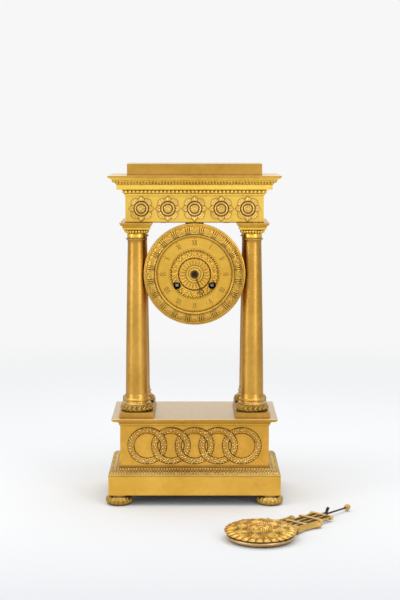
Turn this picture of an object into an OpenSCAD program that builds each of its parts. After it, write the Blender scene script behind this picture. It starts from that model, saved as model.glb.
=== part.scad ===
// Gilt bronze portico clock with its pendulum taken off and laid on the ground.
// Millimetres, +Z up, the front faces -Y, origin on the ground under the middle of the case.

/* [Base] */
// Widest diameter of a bun foot
foot_d = 37.6; // [30:0.2:44]
// Height of a foot up to the plinth
foot_h = 15; // [12:0.5:20]
// Foot axis in from the two plinth faces at its corner
foot_inset = 14.5; // [12:0.5:20]
// Diameter of the stud on top of each foot
foot_stud_d = 6; // [4:0.5:8]
// Length of the stud on top of each foot
foot_stud_len = 12; // [8:0.5:18]
// Height of the plain base plinth
plinth_h = 26.5; // [22:0.5:34]
// Side of the solid corner blocks inside the plinth
corner_block = 33; // [33:0.5:40]
// Height of the sloping base moulding
moulding_h = 11.5; // [9:0.5:15]
// How far the base block stands in from the plinth
base_step = 16; // [12:0.5:20]
// Height of the base block
block_h = 58; // [56:1:72]
// Thickness of the cast walls
wall = 4; // [3:0.5:6]
// Height of the cap slab on the base block
cap_h = 10.5; // [9:0.5:14]
// How far the cap stands out over the base block
cap_overhang = 11.5; // [10:0.5:15]
// Diameter of the bolts that clamp the base
base_bolt_d = 6; // [4:0.5:7]
// Number of interlaced wreaths on the base block
wreath_count = 5; // [3:1:5]
// Distance between wreath centres
wreath_pitch = 33.4; // [30:0.2:36]
// Outer radius of a wreath
wreath_r = 25.5; // [24:0.5:28]
// Width of the wreath band
wreath_band = 8; // [7:0.1:12]
// How far the wreaths stand out of the block
wreath_relief = 3.6; // [2:0.2:5]

/* [Columns] */
// Space left at each side between the drum and the foot of a column shaft
drum_to_column = 5.5; // [4.5:0.5:14]
// Spacing of the columns from front to back
bay_d = 66; // [60:1:80]
// Width of a column plinth
col_plinth_w = 48; // [47:0.5:56]
// Height of a column plinth
col_plinth_h = 7.5; // [5:0.5:12]
// Cap surface left free around the column plinths
ledge = 10.5; // [8:0.5:16]
// Diameter of the carved torus at the foot of a column
torus_d = 46.4; // [40:0.2:47]
// Height of that torus
torus_h = 9.5; // [7:0.5:12]
// Height of a column base with its torus and rings
col_base_h = 20; // [17:0.5:26]
// Height of a column shaft
shaft_h = 222; // [200:1:250]
// Shaft diameter at the foot
shaft_foot_d = 32; // [28:0.2:34]
// Shaft diameter at the top
shaft_top_d = 25.2; // [24:0.2:27]
// Wall of the hollow shaft at its top
shaft_wall = 3; // [2:0.2:5]
// Height of a capital
capital_h = 15; // [12:0.5:20]
// Widest diameter of a capital
capital_d = 35; // [32:0.5:36]
// Width of an abacus block at its foot
abacus_w = 36; // [36:0.5:40]
// How far an abacus block flares out to its top
abacus_flare = 5; // [3:0.5:7]
// Height of an abacus block
abacus_h = 9.5; // [7:0.5:13]
// Diameter of the tie rod in each column
rod_d = 6; // [4:0.5:8]
// Height of a nut
nut_h = 5; // [4:0.5:7]

/* [Entablature] */
// How far the frieze stands out past the shaft tops at the sides
frieze_margin = 2.5; // [0:0.1:4]
// Height of the frieze
frieze_h = 37.5; // [36:0.5:46]
// Thickness of the soffit under the frieze
soffit_t = 4; // [3:0.5:6]
// Distance between rosette centres
rosette_pitch = 37.2; // [37:0.2:40]
// Radius of a rosette at its petal tips
rosette_r = 18; // [14:0.2:18]
// How far a rosette stands out of the frieze
rosette_relief = 4; // [3:0.2:6]
// Height of the bead course under the cornice
bead_course_h = 9; // [7:0.5:12]
// How far the bead course stands out of the frieze
bead_overhang = 4.5; // [4:0.5:9]
// Height of the corona
corona_h = 6.9; // [5:0.1:9]
// How far the corona stands out of the frieze
corona_overhang = 11.8; // [8:0.2:14]
// Height of the carved cymatium
cymatium_h = 9.8; // [6:0.1:12]
// Height of the top fillet of the cornice
cornice_fillet_h = 2.6; // [2:0.1:5]
// How far the cornice stands out of the frieze
cornice_overhang = 23.6; // [18:0.2:30]
// Height of the attic block
attic_h = 16.3; // [13:0.1:22]
// How far the attic block stands back from the frieze
attic_inset = 2.3; // [0:0.1:4]
// Diameter of the bolts that hold the entablature and the drum
case_bolt_d = 4; // [3:0.5:5]

/* [Drum and dial] */
// Diameter of the cast bezel
bezel_d = 142.6; // [138:0.2:143]
// Gap between the bezel and the soffit above it
bezel_gap = 0.7; // [0.5:0.1:3]
// How far the bezel stands in front of the dial plate
bezel_rise = 8; // [6:0.2:10]
// How far the bezel reaches back over the drum
bezel_skirt = 3.5; // [2.5:0.1:5]
// Clearance between the bezel and the front columns
bezel_to_column = 1; // [0.5:0.1:3]
// Outer diameter of the drum
drum_d = 120; // [118:0.5:124]
// Wall of the drum
drum_wall = 1.6; // [1.2:0.1:2.4]
// Depth of the drum behind the back plate
drum_rear = 44; // [43.5:0.5:52]
// Width of the pendulum slot under the drum
slot_w = 28; // [20:1:40]
// Length of the pendulum slot along the drum
slot_len = 14; // [10:0.5:18]
// Thickness of the dial plate
dial_plate_t = 1.5; // [1:0.1:2.5]
// Outer diameter of the chapter ring
chapter_d = 105.6; // [103:0.2:107]
// Diameter of the carved dial centre
centre_d = 68.8; // [68.4:0.2:72]
// Thickness of the chapter ring
chapter_t = 1.5; // [1:0.1:2]
// Thickness of the dial centre
centre_t = 2.5; // [2:0.1:3]
// Diameter of the winding holes
wind_hole_d = 9; // [8:0.1:9.4]
// Length of the hour hand from its axis
hand_len = 33; // [26:0.5:34]
// Angle of the hour hand, clockwise from twelve
hand_angle = 159; // [0:1:359]

/* [Movement] */
// Diameter of the movement plates
movement_d = 92; // [92:1:100]
// Thickness of the movement plates
plate_t = 2; // [1.6:0.1:3]
// Distance between the movement plates
plate_gap = 30; // [30:0.5:36]
// Room between the front plate and the dial plate
motion_room = 10.5; // [10.5:0.1:13]
// Distance between the winding arbors
wind_spread = 49; // [49:0.5:52]
// Winding arbors below the dial centre
wind_drop = 15.8; // [15.8:0.1:17]
// Diameter of the winding arbors
wind_arbor_d = 6; // [5:0.1:6.4]
// Side of the winding squares
wind_square = 3.6; // [3.4:0.1:4.8]
// Diameter of the mainspring barrels
barrel_d = 39; // [34:0.5:39]
// Radius of the bell's dome
bell_r = 36; // [34:0.5:37]
// Depth of the bell
bell_depth = 22; // [20:0.5:23]
// Wall of the bell
bell_wall = 1.8; // [1.2:0.1:2.5]

/* [Pendulum] */
// Bob centre to the right of the case's middle
bob_x = 85; // [60:1:110]
// Bob centre in front of the case's middle
bob_y = 234; // [160:1:260]
// Direction of the pendulum, turned from +X towards +Y
pendulum_angle = 47; // [20:1:70]
// Diameter of the bob over its scallops
bob_d = 94; // [80:1:96]
// Thickness of the bob's lens
lens_t = 8; // [7:0.5:9]
// Thickness of the scalloped face
face_t = 4.5; // [3:0.5:6]
// Height of the dome on the bob's face
dome_h = 4; // [3:0.5:7]
// Number of scallops around the bob
scallop_count = 28; // [24:1:44]
// Height of the gridiron's rods above the ground
rod_axis_h = 5.5; // [5:0.1:7]
// Number of gridiron rods
grid_rods = 7; // [5:2:9]
// Diameter of a gridiron rod
grid_rod_d = 2.3; // [2:0.1:3.2]
// Distance between gridiron rods
grid_pitch = 5; // [4.2:0.1:5.4]
// Width of a cross bar along the pendulum
bar_len = 5; // [4:0.2:6]
// Thickness of a cross bar
bar_t = 5; // [4.4:0.1:6]
// Distance from the bob centre to the rating knob
knob_reach = 184; // [172:1:200]
// Diameter of the rating knob
knob_d = 9; // [7:0.2:9.6]
// Diameter of the steel top rod
top_rod_d = 2.3; // [1.6:0.1:3]

/* [Hidden] */
$fn = 72;

// Radial clearance of a turning shaft in its hole
run_clear = 0.05;
// Clearance around a bolt, rod or fitted edge
fit_clear = 0.1;
// Axial play of an arbor between its plates
end_play = 0.15;
// Small overlap used only to cut through
cut = 1;

// Heights of the case, from the ground up
z_plinth = foot_h;
z_moulding = z_plinth + plinth_h;
z_block = z_moulding + moulding_h;
z_cap = z_block + block_h;
z_stage = z_cap + cap_h;
z_col_base = z_stage + col_plinth_h;
z_shaft = z_col_base + col_base_h;
z_capital = z_shaft + shaft_h;
z_abacus = z_capital + capital_h;
z_frieze = z_abacus + abacus_h;
z_bead = z_frieze + frieze_h;
z_cornice = z_bead + bead_course_h;
cornice_h = corona_h + cymatium_h + cornice_fillet_h;
z_attic = z_cornice + cornice_h;

// Plan of the case, worked out from the drum and the columns
bay_w = drum_d + shaft_foot_d + 2 * drum_to_column;
cap_w = bay_w + col_plinth_w + 2 * ledge;
cap_d = bay_d + col_plinth_w + 2 * ledge;
block_w = cap_w - 2 * cap_overhang;
block_d = cap_d - 2 * cap_overhang;
base_w = block_w + 2 * base_step;
base_d = block_d + 2 * base_step;
frieze_w = bay_w + shaft_top_d + 2 * frieze_margin;
frieze_d = bay_d + shaft_top_d;
attic_w = frieze_w - 2 * attic_inset;
attic_d = frieze_d - 2 * attic_inset;
foot_x = base_w / 2 - foot_inset;
foot_y = base_d / 2 - foot_inset;
bolt_head_h = 4;
bolt_head_d = base_bolt_d + 5;
base_bolt_x = block_w / 2 - wall - bolt_head_d / 2 - cut;
base_bolt_y = block_d / 2 - wall - bolt_head_d / 2 - cut;
base_bolt_grip = 6;
nut_d = 2 * rod_d;
rod_tail = nut_h + 3;
case_bolt_x = 45;
case_bolt_grip = 8;
case_head_d = case_bolt_d + 5;
case_head_h = 3;
attic_boss_d = case_bolt_d + 10;

// Drum frame: x right, y up, t forward along the dial axis
bezel_r = bezel_d / 2;
drum_r = drum_d / 2;
dial_z = z_frieze - bezel_gap - bezel_r;
shaft_r_dial = (shaft_foot_d + (shaft_top_d - shaft_foot_d) * (dial_z - z_shaft) / shaft_h) / 2;
column_side = max(0, bay_w / 2 - bezel_r);
column_bulge = sqrt(max(0, pow(shaft_r_dial, 2) - pow(column_side, 2)));
t_skirt = bay_d / 2 + column_bulge + bezel_to_column;
t_dial = t_skirt + bezel_skirt;
t_face = t_dial + dial_plate_t;
t_bezel = t_face + bezel_rise;
t_front = t_dial - motion_room;
t_inner_front = t_front - plate_t;
t_inner_back = t_inner_front - plate_gap;
t_back = t_inner_back - plate_t;
t_rear = t_back - drum_rear;

// Wheel teeth: count and module of each mesh
pressure = 20;
tooth_play = 0.06;
root_depth = 1;
barrel_z = 96;
barrel_m = 0.46;
inter_pinion_z = 12;
inter_z = 72;
inter_m = 0.38;
centre_pinion_z = 12;
centre_z = 96;
centre_m = 0.28;
third_pinion_z = 8;
third_z = 72;
third_m = 0.33;
escape_pinion_z = 8;
escape_teeth = 40;
escape_r = 11;
cannon_z = 24;
minute_z = 36;
cannon_m = 0.6;
minute_pinion_z = 12;
hour_z = 96;
// Tip heights in modules, low enough to clear the flanks of small pinions
tip_full = 0.8;
tip_twelve = 0.7;
tip_eight = 0.42;

function spacing(a, b, m) = (a + b) * m / 2;
function polar(r, a) = [r * cos(a), r * sin(a)];
function bearing(p, q) = atan2(q[1] - p[1], q[0] - p[0]);
function meeting(p, rp, q, rq) =
    let (d = norm(q - p), a = (rp * rp - rq * rq + d * d) / (2 * d), e = (q - p) / d)
    p + a * e + sqrt(rp * rp - a * a) * [-e[1], e[0]];
// Angle that turns wheel b so that its gap meets the tooth of wheel a
function mesh_phase(za, phase_a, zb, line) =
    line + 180 - 360 / zb * (0.5 - (line - phase_a) * za / 360);

// Places of the arbors around the dial centre
centre_at = [0, 0];
going_at = [wind_spread / 2, -wind_drop];
strike_at = [-wind_spread / 2, -wind_drop];
inter_at = meeting(centre_at, spacing(inter_z, centre_pinion_z, inter_m),
                   going_at, spacing(barrel_z, inter_pinion_z, barrel_m));
third_at = polar(spacing(centre_z, third_pinion_z, centre_m), 125);
escape_reach = spacing(third_z, escape_pinion_z, third_m);
escape_at = [0, third_at[1] + sqrt(pow(escape_reach, 2) - pow(third_at[0], 2))];
pallet_rise = 15.5;
pallet_at = escape_at + [0, pallet_rise];
motion_reach = spacing(cannon_z, minute_z, cannon_m);
hour_m = 2 * motion_reach / (hour_z + minute_pinion_z);
minute_at = [0, motion_reach];
pin_wheel_at = strike_at + [0, spacing(barrel_z, inter_pinion_z, barrel_m)];
hammer_at = [-37, 22];
pillar_places = [[29, 29], [-29, 29], [9, -40], [-9, -40]];
dial_post_places = [for (a = [20, 160, 270]) polar(40, a)];

// Levels of the wheels along the drum axis
t_great = t_inner_front - 3.5;
great_t = 1.5;
barrel_len = plate_gap - 10.5;
t_third = t_inner_front - 7;
t_escape = t_inner_front - 15;
t_inter = t_inner_back + 6;
t_centre = t_inner_back + 3.2;
wheel_t = 1.2;
thin_wheel_t = 1;
t_cannon = t_front + 1.4;
t_hour = t_cannon + 4.6;

// Arbor and pivot diameters
heavy_arbor_d = 2.4;
heavy_pivot_d = 1.4;
fine_arbor_d = 1.6;
fine_pivot_d = 1;
centre_arbor_d = 3;
cannon_pipe_d = 5.3;
hour_pipe_d = 7;
stud_d = 1.6;
wind_pivot_d = 4;
hammer_arbor_d = 2.4;
pillar_d = 6;
pillar_end_d = 3.6;
dial_post_d = 4;

// Colours of the metals
gilt = "#d8a83c";
burnished = "#e0b24c";
brass = "#c9a04a";
bronze = "#b98a3c";
steel = "#8c9096";
blued = "#2b2a33";

// Solid with the same moulding on all four sides; the profile lists [outward, height]
module mitred(w, d, profile) {
    reach = max([for (p = profile) p[0]]);
    function outline(half) = concat(
        [for (p = profile) [half + p[0], p[1]]],
        [for (i = [len(profile) - 1:-1:0]) [-half - profile[i][0], profile[i][1]]]);
    intersection() {
        rotate([90, 0, 0])
            linear_extrude(d + 2 * reach + cut, center = true) polygon(outline(w / 2));
        rotate([90, 0, 90])
            linear_extrude(w + 2 * reach + cut, center = true) polygon(outline(d / 2));
    }
}

// S-shaped run of a moulding from one [outward, height] point to another
function cyma(from, to, steps = 6) =
    [for (i = [0:steps]) let (s = i / steps)
        [from[0] + (to[0] - from[0]) * (s - sin(360 * s) / 9),
         from[1] + (to[1] - from[1]) * (s + sin(360 * s) / 9)]];

module block(w, d, h) {
    translate([-w / 2, -d / 2, 0]) cube([w, d, h]);
}

module at_corners(x, y) {
    for (sx = [-1, 1], sy = [-1, 1]) translate([sx * x, sy * y, 0]) children();
}

module at_columns() {
    at_corners(bay_w / 2, bay_d / 2) children();
}

module hole(d, from, to) {
    translate([0, 0, from]) cylinder(d = d, h = to - from);
}

module rod_holes(from, to) {
    at_columns() hole(rod_d + 2 * fit_clear, from, to);
}

// Drum frame: local x right, y up, z forward
module at_dial() {
    translate([0, 0, dial_z]) rotate([90, 0, 0]) children();
}

module at_arbor(place) {
    at_dial() translate([place[0], place[1], 0]) children();
}

// Involute angle in degrees at radius r over base radius rb
function involute(r, rb) = let (c = acos(rb / r)) tan(c) * 180 / PI - c;

function tooth_half(r, z, m) =
    let (rp = z * m / 2, rb = rp * cos(pressure))
    90 / z - tooth_play / rp * 90 / PI + involute(rp, rb) - involute(r, rb);

function gear_outline(z, m, tip) =
    let (rp = z * m / 2, root = rp - root_depth * m, top = rp + tip * m,
         low = max(root, rp * cos(pressure) + 0.001),
         flank = [low, (low + top) / 2, top], span = tooth_half(low, z, m))
    [for (i = [0:z - 1]) let (a = i * 360 / z) each concat(
        root < low ? [polar(root, a - span)] : [],
        [for (r = flank) polar(r, a - tooth_half(r, z, m))],
        [for (k = [2:-1:0]) polar(flank[k], a + tooth_half(flank[k], z, m))],
        root < low ? [polar(root, a + span)] : [])];

module gear(z, m, tip, from, thick, phase) {
    translate([0, 0, from]) rotate([0, 0, phase])
        linear_extrude(thick) polygon(gear_outline(z, m, tip));
}

// Five round windows that lighten a wheel
module crossings(z, m, hub, from, thick) {
    inner = hub + 1;
    outer = z * m / 2 - 2.2 * m - 1;
    middle = (inner + outer) / 2;
    window = min(outer - inner, 2 * middle * sin(36) - 1);
    for (a = [0:72:288]) translate(concat(polar(middle, a), from - cut))
        cylinder(d = window, h = thick + 2 * cut);
}

// Arbor between the plates with a pivot at each end
module arbor(d, pivot_d) {
    hole(d, t_inner_back + end_play, t_inner_front - end_play);
    hole(pivot_d, t_back + 0.5, t_front - 0.5);
}

module bun_feet() {
    bun_r = foot_h * 0.42;
    neck_d = foot_d * 0.72;
    color(gilt) at_corners(foot_x, foot_y) {
        rotate_extrude() {
            square([foot_d / 2 - bun_r, 2 * bun_r]);
            translate([foot_d / 2 - bun_r, bun_r]) circle(bun_r);
            square([neck_d / 2, foot_h]);
        }
        hole(foot_stud_d, foot_h - cut, foot_h + foot_stud_len);
    }
}

module base_plinth() {
    color(gilt) difference() {
        translate([0, 0, z_plinth]) block(base_w, base_d, plinth_h);
        translate([0, 0, z_plinth - cut]) {
            block(base_w - 2 * corner_block, base_d - 2 * wall, plinth_h - wall + cut);
            block(base_w - 2 * wall, base_d - 2 * corner_block, plinth_h - wall + cut);
        }
        at_corners(foot_x, foot_y)
            hole(foot_stud_d + 2 * fit_clear, z_plinth - cut, z_plinth + foot_stud_len + fit_clear);
        at_corners(base_bolt_x, base_bolt_y) {
            hole(base_bolt_d + 2 * fit_clear, z_plinth - cut, z_moulding + cut);
            hole(bolt_head_d + 2 * fit_clear, z_plinth - cut, z_plinth + bolt_head_h);
        }
    }
}

module base_moulding() {
    lip = moulding_h * 0.2;
    profile = concat([[base_step, 0], [base_step, lip]],
                     cyma([base_step - 1.2, lip + 0.4], [2.2, moulding_h - lip]),
                     [[1, moulding_h - lip], [1, moulding_h]]);
    color(gilt) translate([0, 0, z_moulding]) difference() {
        mitred(block_w, block_d, profile);
        translate([0, 0, -cut]) block(block_w - 2 * wall, block_d - 2 * wall, moulding_h + 2 * cut);
    }
}

module base_block() {
    color(gilt) translate([0, 0, z_block]) difference() {
        block(block_w, block_d, block_h);
        translate([0, 0, -cut]) block(block_w - 2 * wall, block_d - 2 * wall, block_h + 2 * cut);
    }
}

module wreath_mount() {
    color(burnished)
        translate([0, -block_d / 2, z_block + block_h / 2]) rotate([90, 0, 0])
            for (i = [0:wreath_count - 1])
                translate([(i - (wreath_count - 1) / 2) * wreath_pitch, 0, 0])
                    rotate_extrude() translate([wreath_r - wreath_band / 2, 0])
                        polygon([[-wreath_band / 2, 0], [wreath_band / 2, 0],
                                 [wreath_band / 2, wreath_relief * 0.4],
                                 [wreath_band / 4, wreath_relief],
                                 [-wreath_band / 4, wreath_relief],
                                 [-wreath_band / 2, wreath_relief * 0.4]]);
}

module base_cap() {
    lip = cap_h * 0.14;
    list_h = cap_h * 0.26;
    list_out = 1.6;
    profile = concat([[list_out, 0], [list_out, list_h]],
                     cyma([list_out + 0.6, list_h + 0.3], [cap_overhang - 0.8, cap_h - lip - 0.3]),
                     [[cap_overhang, cap_h - lip], [cap_overhang, cap_h]]);
    color(gilt) difference() {
        translate([0, 0, z_cap]) mitred(block_w, block_d, profile);
        rod_holes(z_cap - cut, z_stage + cut);
        at_corners(base_bolt_x, base_bolt_y)
            hole(base_bolt_d + 2 * fit_clear, z_cap - cut, z_cap + base_bolt_grip + fit_clear);
    }
}

// Bolts of the base, of the entablature and of the drum saddle
module case_bolts() {
    color(steel) {
        at_corners(base_bolt_x, base_bolt_y) {
            hole(bolt_head_d, z_plinth + 0.5, z_plinth + bolt_head_h);
            hole(base_bolt_d, z_plinth + 0.5, z_cap + base_bolt_grip);
        }
        for (sx = [-1, 1]) translate([sx * case_bolt_x, 0, 0]) {
            hole(case_head_d, z_frieze - case_head_h, z_frieze);
            hole(case_bolt_d, z_frieze - case_head_h, z_attic + case_bolt_grip);
        }
        for (t = saddle_bolt_places) translate([0, -t, 0]) {
            hole(case_head_d, z_frieze + soffit_t, z_frieze + soffit_t + case_head_h);
            hole(case_bolt_d, dial_z + drum_r - drum_wall - case_head_h, z_frieze + soffit_t + cut);
        }
    }
}

module column_plinths() {
    color(gilt) difference() {
        for (sx = [-1, 1]) translate([sx * bay_w / 2, 0, z_stage])
            block(col_plinth_w, bay_d + col_plinth_w, col_plinth_h);
        rod_holes(z_stage - cut, z_col_base + cut);
    }
}

module column_bases() {
    ring_h = (col_base_h - torus_h) / 4;
    color(gilt) difference() {
        at_columns() translate([0, 0, z_col_base]) rotate_extrude() {
            square([torus_d / 2 - torus_h / 2, torus_h]);
            translate([torus_d / 2 - torus_h / 2, torus_h / 2]) circle(torus_h / 2);
            square([shaft_foot_d / 2 + 3.2, torus_h + ring_h]);
            square([shaft_foot_d / 2 + 0.8, col_base_h]);
            translate([shaft_foot_d / 2 + 0.8, torus_h + 2.5 * ring_h]) circle(ring_h * 0.6);
        }
        rod_holes(z_col_base - cut, z_shaft + cut);
    }
}

module column_shafts() {
    color(burnished) difference() {
        at_columns() translate([0, 0, z_shaft])
            cylinder(d1 = shaft_foot_d, d2 = shaft_top_d, h = shaft_h);
        at_columns() hole(shaft_top_d - 2 * shaft_wall, z_shaft - cut, z_capital + cut);
    }
}

module column_capitals() {
    astragal = capital_h / 14;
    neck_h = capital_h * 0.6;
    echinus_r = capital_h * 0.32;
    color(gilt) difference() {
        at_columns() translate([0, 0, z_capital]) rotate_extrude() {
            square([shaft_top_d / 2 + 0.2, capital_h]);
            translate([shaft_top_d / 2, astragal]) circle(astragal);
            intersection() {
                translate([capital_d / 2 - echinus_r, capital_h]) circle(echinus_r);
                square([capital_d, capital_h]);
            }
            translate([0, neck_h]) square([capital_d / 2 - echinus_r, capital_h - neck_h]);
        }
        rod_holes(z_capital - cut, z_abacus + cut);
    }
}

module abacus_blocks() {
    lip = abacus_h * 0.3;
    profile = concat([[0, 0], [0, 1]],
                     cyma([0.6, 1.4], [abacus_flare - 0.8, abacus_h - lip]),
                     [[abacus_flare, abacus_h - lip], [abacus_flare, abacus_h]]);
    color(gilt) difference() {
        for (sx = [-1, 1]) translate([sx * bay_w / 2, 0, z_abacus])
            mitred(abacus_w, bay_d + abacus_w, profile);
        rod_holes(z_abacus - cut, z_frieze + cut);
    }
}

module tie_rods() {
    color(steel) at_columns() hole(rod_d, z_cap - rod_tail, z_frieze + soffit_t + rod_tail);
}

// Nuts of the tie rods, and of the saddle bolts inside the drum
module case_nuts() {
    inside = dial_z + drum_r - drum_wall;
    color(brass) {
        difference() {
            at_columns() {
                translate([0, 0, z_cap - nut_h]) cylinder(d = nut_d, h = nut_h, $fn = 6);
                translate([0, 0, z_frieze + soffit_t]) cylinder(d = nut_d, h = nut_h, $fn = 6);
            }
            rod_holes(z_cap - rod_tail, z_frieze + soffit_t + rod_tail);
        }
        for (t = saddle_bolt_places) difference() {
            intersection() {
                translate([0, -t, inside - case_head_h])
                    cylinder(d = case_head_d, h = case_head_h, $fn = 6);
                at_dial() hole(drum_d - 2 * drum_wall, t - case_head_d, t + case_head_d);
            }
            translate([0, -t, 0])
                hole(case_bolt_d + 2 * fit_clear, inside - 2 * case_head_h, inside + cut);
        }
    }
}

// Holes through the soffit and the parts above and below it
module case_bolt_holes() {
    for (sx = [-1, 1]) translate([sx * case_bolt_x, 0, 0])
        hole(case_bolt_d + 2 * fit_clear, z_frieze - cut, z_attic + case_bolt_grip + fit_clear);
    for (t = saddle_bolt_places) translate([0, -t, 0])
        hole(case_bolt_d + 2 * fit_clear, dial_z + drum_r / 2, z_frieze + soffit_t + cut);
}

module frieze_box() {
    color(burnished) difference() {
        translate([0, 0, z_frieze]) block(frieze_w, frieze_d, frieze_h);
        translate([0, 0, z_frieze + soffit_t])
            block(frieze_w - 2 * wall, frieze_d - 2 * wall, frieze_h);
        rod_holes(z_frieze - cut, z_frieze + soffit_t + cut);
        case_bolt_holes();
    }
}

module rosette() {
    petal_w = rosette_r * 0.62;
    for (a = [0:90:270]) rotate([0, 0, a])
        linear_extrude(rosette_relief * 0.5)
            polygon([[0, -petal_w / 2], [rosette_r * 0.6, -petal_w / 2], [rosette_r, 0],
                     [rosette_r * 0.6, petal_w / 2], [0, petal_w / 2]]);
    for (a = [45:90:315]) rotate([0, 0, a]) translate([rosette_r * 0.6, 0, 0])
        cylinder(r = rosette_r * 0.32, h = rosette_relief * 0.4);
    difference() {
        cylinder(r = rosette_r * 0.61, h = rosette_relief * 0.75);
        translate([0, 0, rosette_relief * 0.6]) cylinder(r = rosette_r * 0.45, h = rosette_relief);
    }
    cylinder(r = rosette_r * 0.33, h = rosette_relief);
}

module frieze_rosettes() {
    color(burnished)
        for (i = [-2:2]) translate([i * rosette_pitch, -frieze_d / 2, z_frieze + frieze_h * 0.52])
            rotate([90, 0, 0]) rosette();
}

module bead_course() {
    fillet_h = bead_course_h * 0.37;
    profile = [[bead_overhang * 0.15, 0], [bead_overhang * 0.45, fillet_h],
               [bead_overhang, fillet_h + 0.6], [bead_overhang, bead_course_h]];
    color(gilt) translate([0, 0, z_bead]) difference() {
        mitred(frieze_w, frieze_d, profile);
        translate([0, 0, -cut]) block(frieze_w - 2 * wall, frieze_d - 2 * wall, bead_course_h + 2 * cut);
    }
}

module cornice() {
    top_t = wall;
    profile = concat([[corona_overhang, 0], [corona_overhang, corona_h]],
                     cyma([corona_overhang + 1, corona_h + 0.3],
                          [cornice_overhang - 1.2, corona_h + cymatium_h]),
                     [[cornice_overhang, corona_h + cymatium_h], [cornice_overhang, cornice_h]]);
    color(gilt) difference() {
        translate([0, 0, z_cornice]) mitred(frieze_w, frieze_d, profile);
        translate([0, 0, z_cornice - cut])
            block(frieze_w - 2 * wall, frieze_d - 2 * wall, cornice_h - top_t + cut);
        case_bolt_holes();
    }
}

module attic_block() {
    color(gilt) difference() {
        union() {
            translate([0, 0, z_attic]) difference() {
                block(attic_w, attic_d, attic_h);
                translate([0, 0, -cut])
                    block(attic_w - 2 * wall, attic_d - 2 * wall, attic_h - wall + cut);
            }
            for (sx = [-1, 1]) translate([sx * case_bolt_x, 0, 0])
                hole(attic_boss_d, z_attic, z_attic + attic_h - cut);
        }
        case_bolt_holes();
    }
}

saddle_w = 26;
saddle_front_set = 12;
saddle_reach = 20;
saddle_bolt_inset = 10;
saddle_front = t_skirt - saddle_front_set;
saddle_back = t_back - saddle_reach;
saddle_bolt_places = [saddle_front - saddle_bolt_inset, saddle_back + saddle_bolt_inset];

module drum_saddle() {
    top = z_frieze - dial_z;
    color(bronze) difference() {
        at_dial() translate([-saddle_w / 2, drum_r * 0.8, saddle_back])
            cube([saddle_w, top - drum_r * 0.8, saddle_front - saddle_back]);
        at_dial() hole(drum_d, saddle_back - cut, saddle_front + cut);
        case_bolt_holes();
    }
}

slot_t = t_back - 5;

module drum_case() {
    color(bronze) difference() {
        at_dial() hole(drum_d, t_rear, t_dial);
        at_dial() hole(drum_d - 2 * drum_wall, t_rear - cut, t_dial + cut);
        at_dial() translate([-slot_w / 2, -drum_r - cut, slot_t - slot_len])
            cube([slot_w, drum_r / 2, slot_len]);
        case_bolt_holes();
    }
}

module bezel() {
    lip_r = chapter_d / 2 + fit_clear;
    band_in = lip_r + 3;
    band_out = bezel_r - 2;
    crown = (band_in + band_out) / 2;
    color(gilt) at_dial() rotate_extrude() polygon([
        [drum_r + fit_clear, t_skirt], [bezel_r - 1, t_skirt], [bezel_r, t_skirt + 1],
        [bezel_r, t_face], [band_out, t_face + 1.4], [crown + 3, t_bezel - 1],
        [crown - 2, t_bezel], [band_in, t_bezel - 1.4], [lip_r + 2.2, t_bezel - 0.6],
        [lip_r + 0.6, t_bezel - 0.6], [lip_r, t_bezel - 1.2], [lip_r, t_face],
        [drum_r + fit_clear, t_face]]);
}

module dial_holes(from, to) {
    hole(hour_pipe_d + 3, from, to);
    for (p = [going_at, strike_at]) translate(p) hole(wind_hole_d, from, to);
}

module dial_plate() {
    color(brass) at_dial() difference() {
        hole(drum_d, t_dial, t_face);
        dial_holes(t_dial - cut, t_face + cut);
    }
}

module chapter_ring() {
    color(burnished) at_dial() difference() {
        hole(chapter_d, t_face, t_face + chapter_t);
        hole(centre_d + 2 * fit_clear, t_face - cut, t_face + chapter_t + cut);
    }
}

module dial_centre() {
    color(gilt) at_dial() difference() {
        hole(centre_d, t_face, t_face + centre_t);
        dial_holes(t_face - cut, t_face + centre_t + cut);
    }
}

module dial_posts() {
    color(brass) for (p = dial_post_places) at_arbor(p) hole(dial_post_d, t_front, t_dial);
}

// Holes that both plates share, bored for the pivots that run in them
module pivot_holes(from, to) {
    for (p = [inter_at, pin_wheel_at]) translate(p) hole(heavy_pivot_d + 2 * run_clear, from, to);
    for (p = [third_at, escape_at]) translate(p) hole(fine_pivot_d + 2 * run_clear, from, to);
    for (p = pillar_places) translate(p) hole(pillar_end_d + 2 * run_clear, from, to);
    translate(hammer_at) hole(hammer_arbor_d + 2 * run_clear, from, to);
}

module front_plate() {
    color(brass) at_dial() difference() {
        hole(movement_d, t_inner_front, t_front);
        pivot_holes(t_inner_front - cut, t_front + cut);
        hole(centre_arbor_d + 2 * run_clear, t_inner_front - cut, t_front + cut);
        translate(pallet_at) hole(fine_pivot_d + 2 * run_clear, t_inner_front - cut, t_front + cut);
        for (p = [going_at, strike_at]) translate(p)
            hole(wind_arbor_d + 2 * run_clear, t_inner_front - cut, t_front + cut);
        translate(minute_at) hole(stud_d, t_inner_front - cut, t_front + cut);
    }
}

module back_plate() {
    color(brass) at_dial() difference() {
        hole(movement_d, t_back, t_inner_back);
        pivot_holes(t_back - cut, t_inner_back + cut);
        hole(heavy_pivot_d + 2 * run_clear, t_back - cut, t_inner_back + cut);
        translate(pallet_at) hole(3 * fine_arbor_d, t_back - cut, t_inner_back + cut);
        for (p = [going_at, strike_at]) translate(p)
            hole(wind_pivot_d + 2 * run_clear, t_back - cut, t_inner_back + cut);
    }
}

module plate_pillars() {
    color(brass) for (p = pillar_places) at_arbor(p) {
        hole(pillar_d, t_inner_back, t_inner_front);
        hole(pillar_end_d, t_back - 0.8, t_front + 0.8);
    }
}

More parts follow.
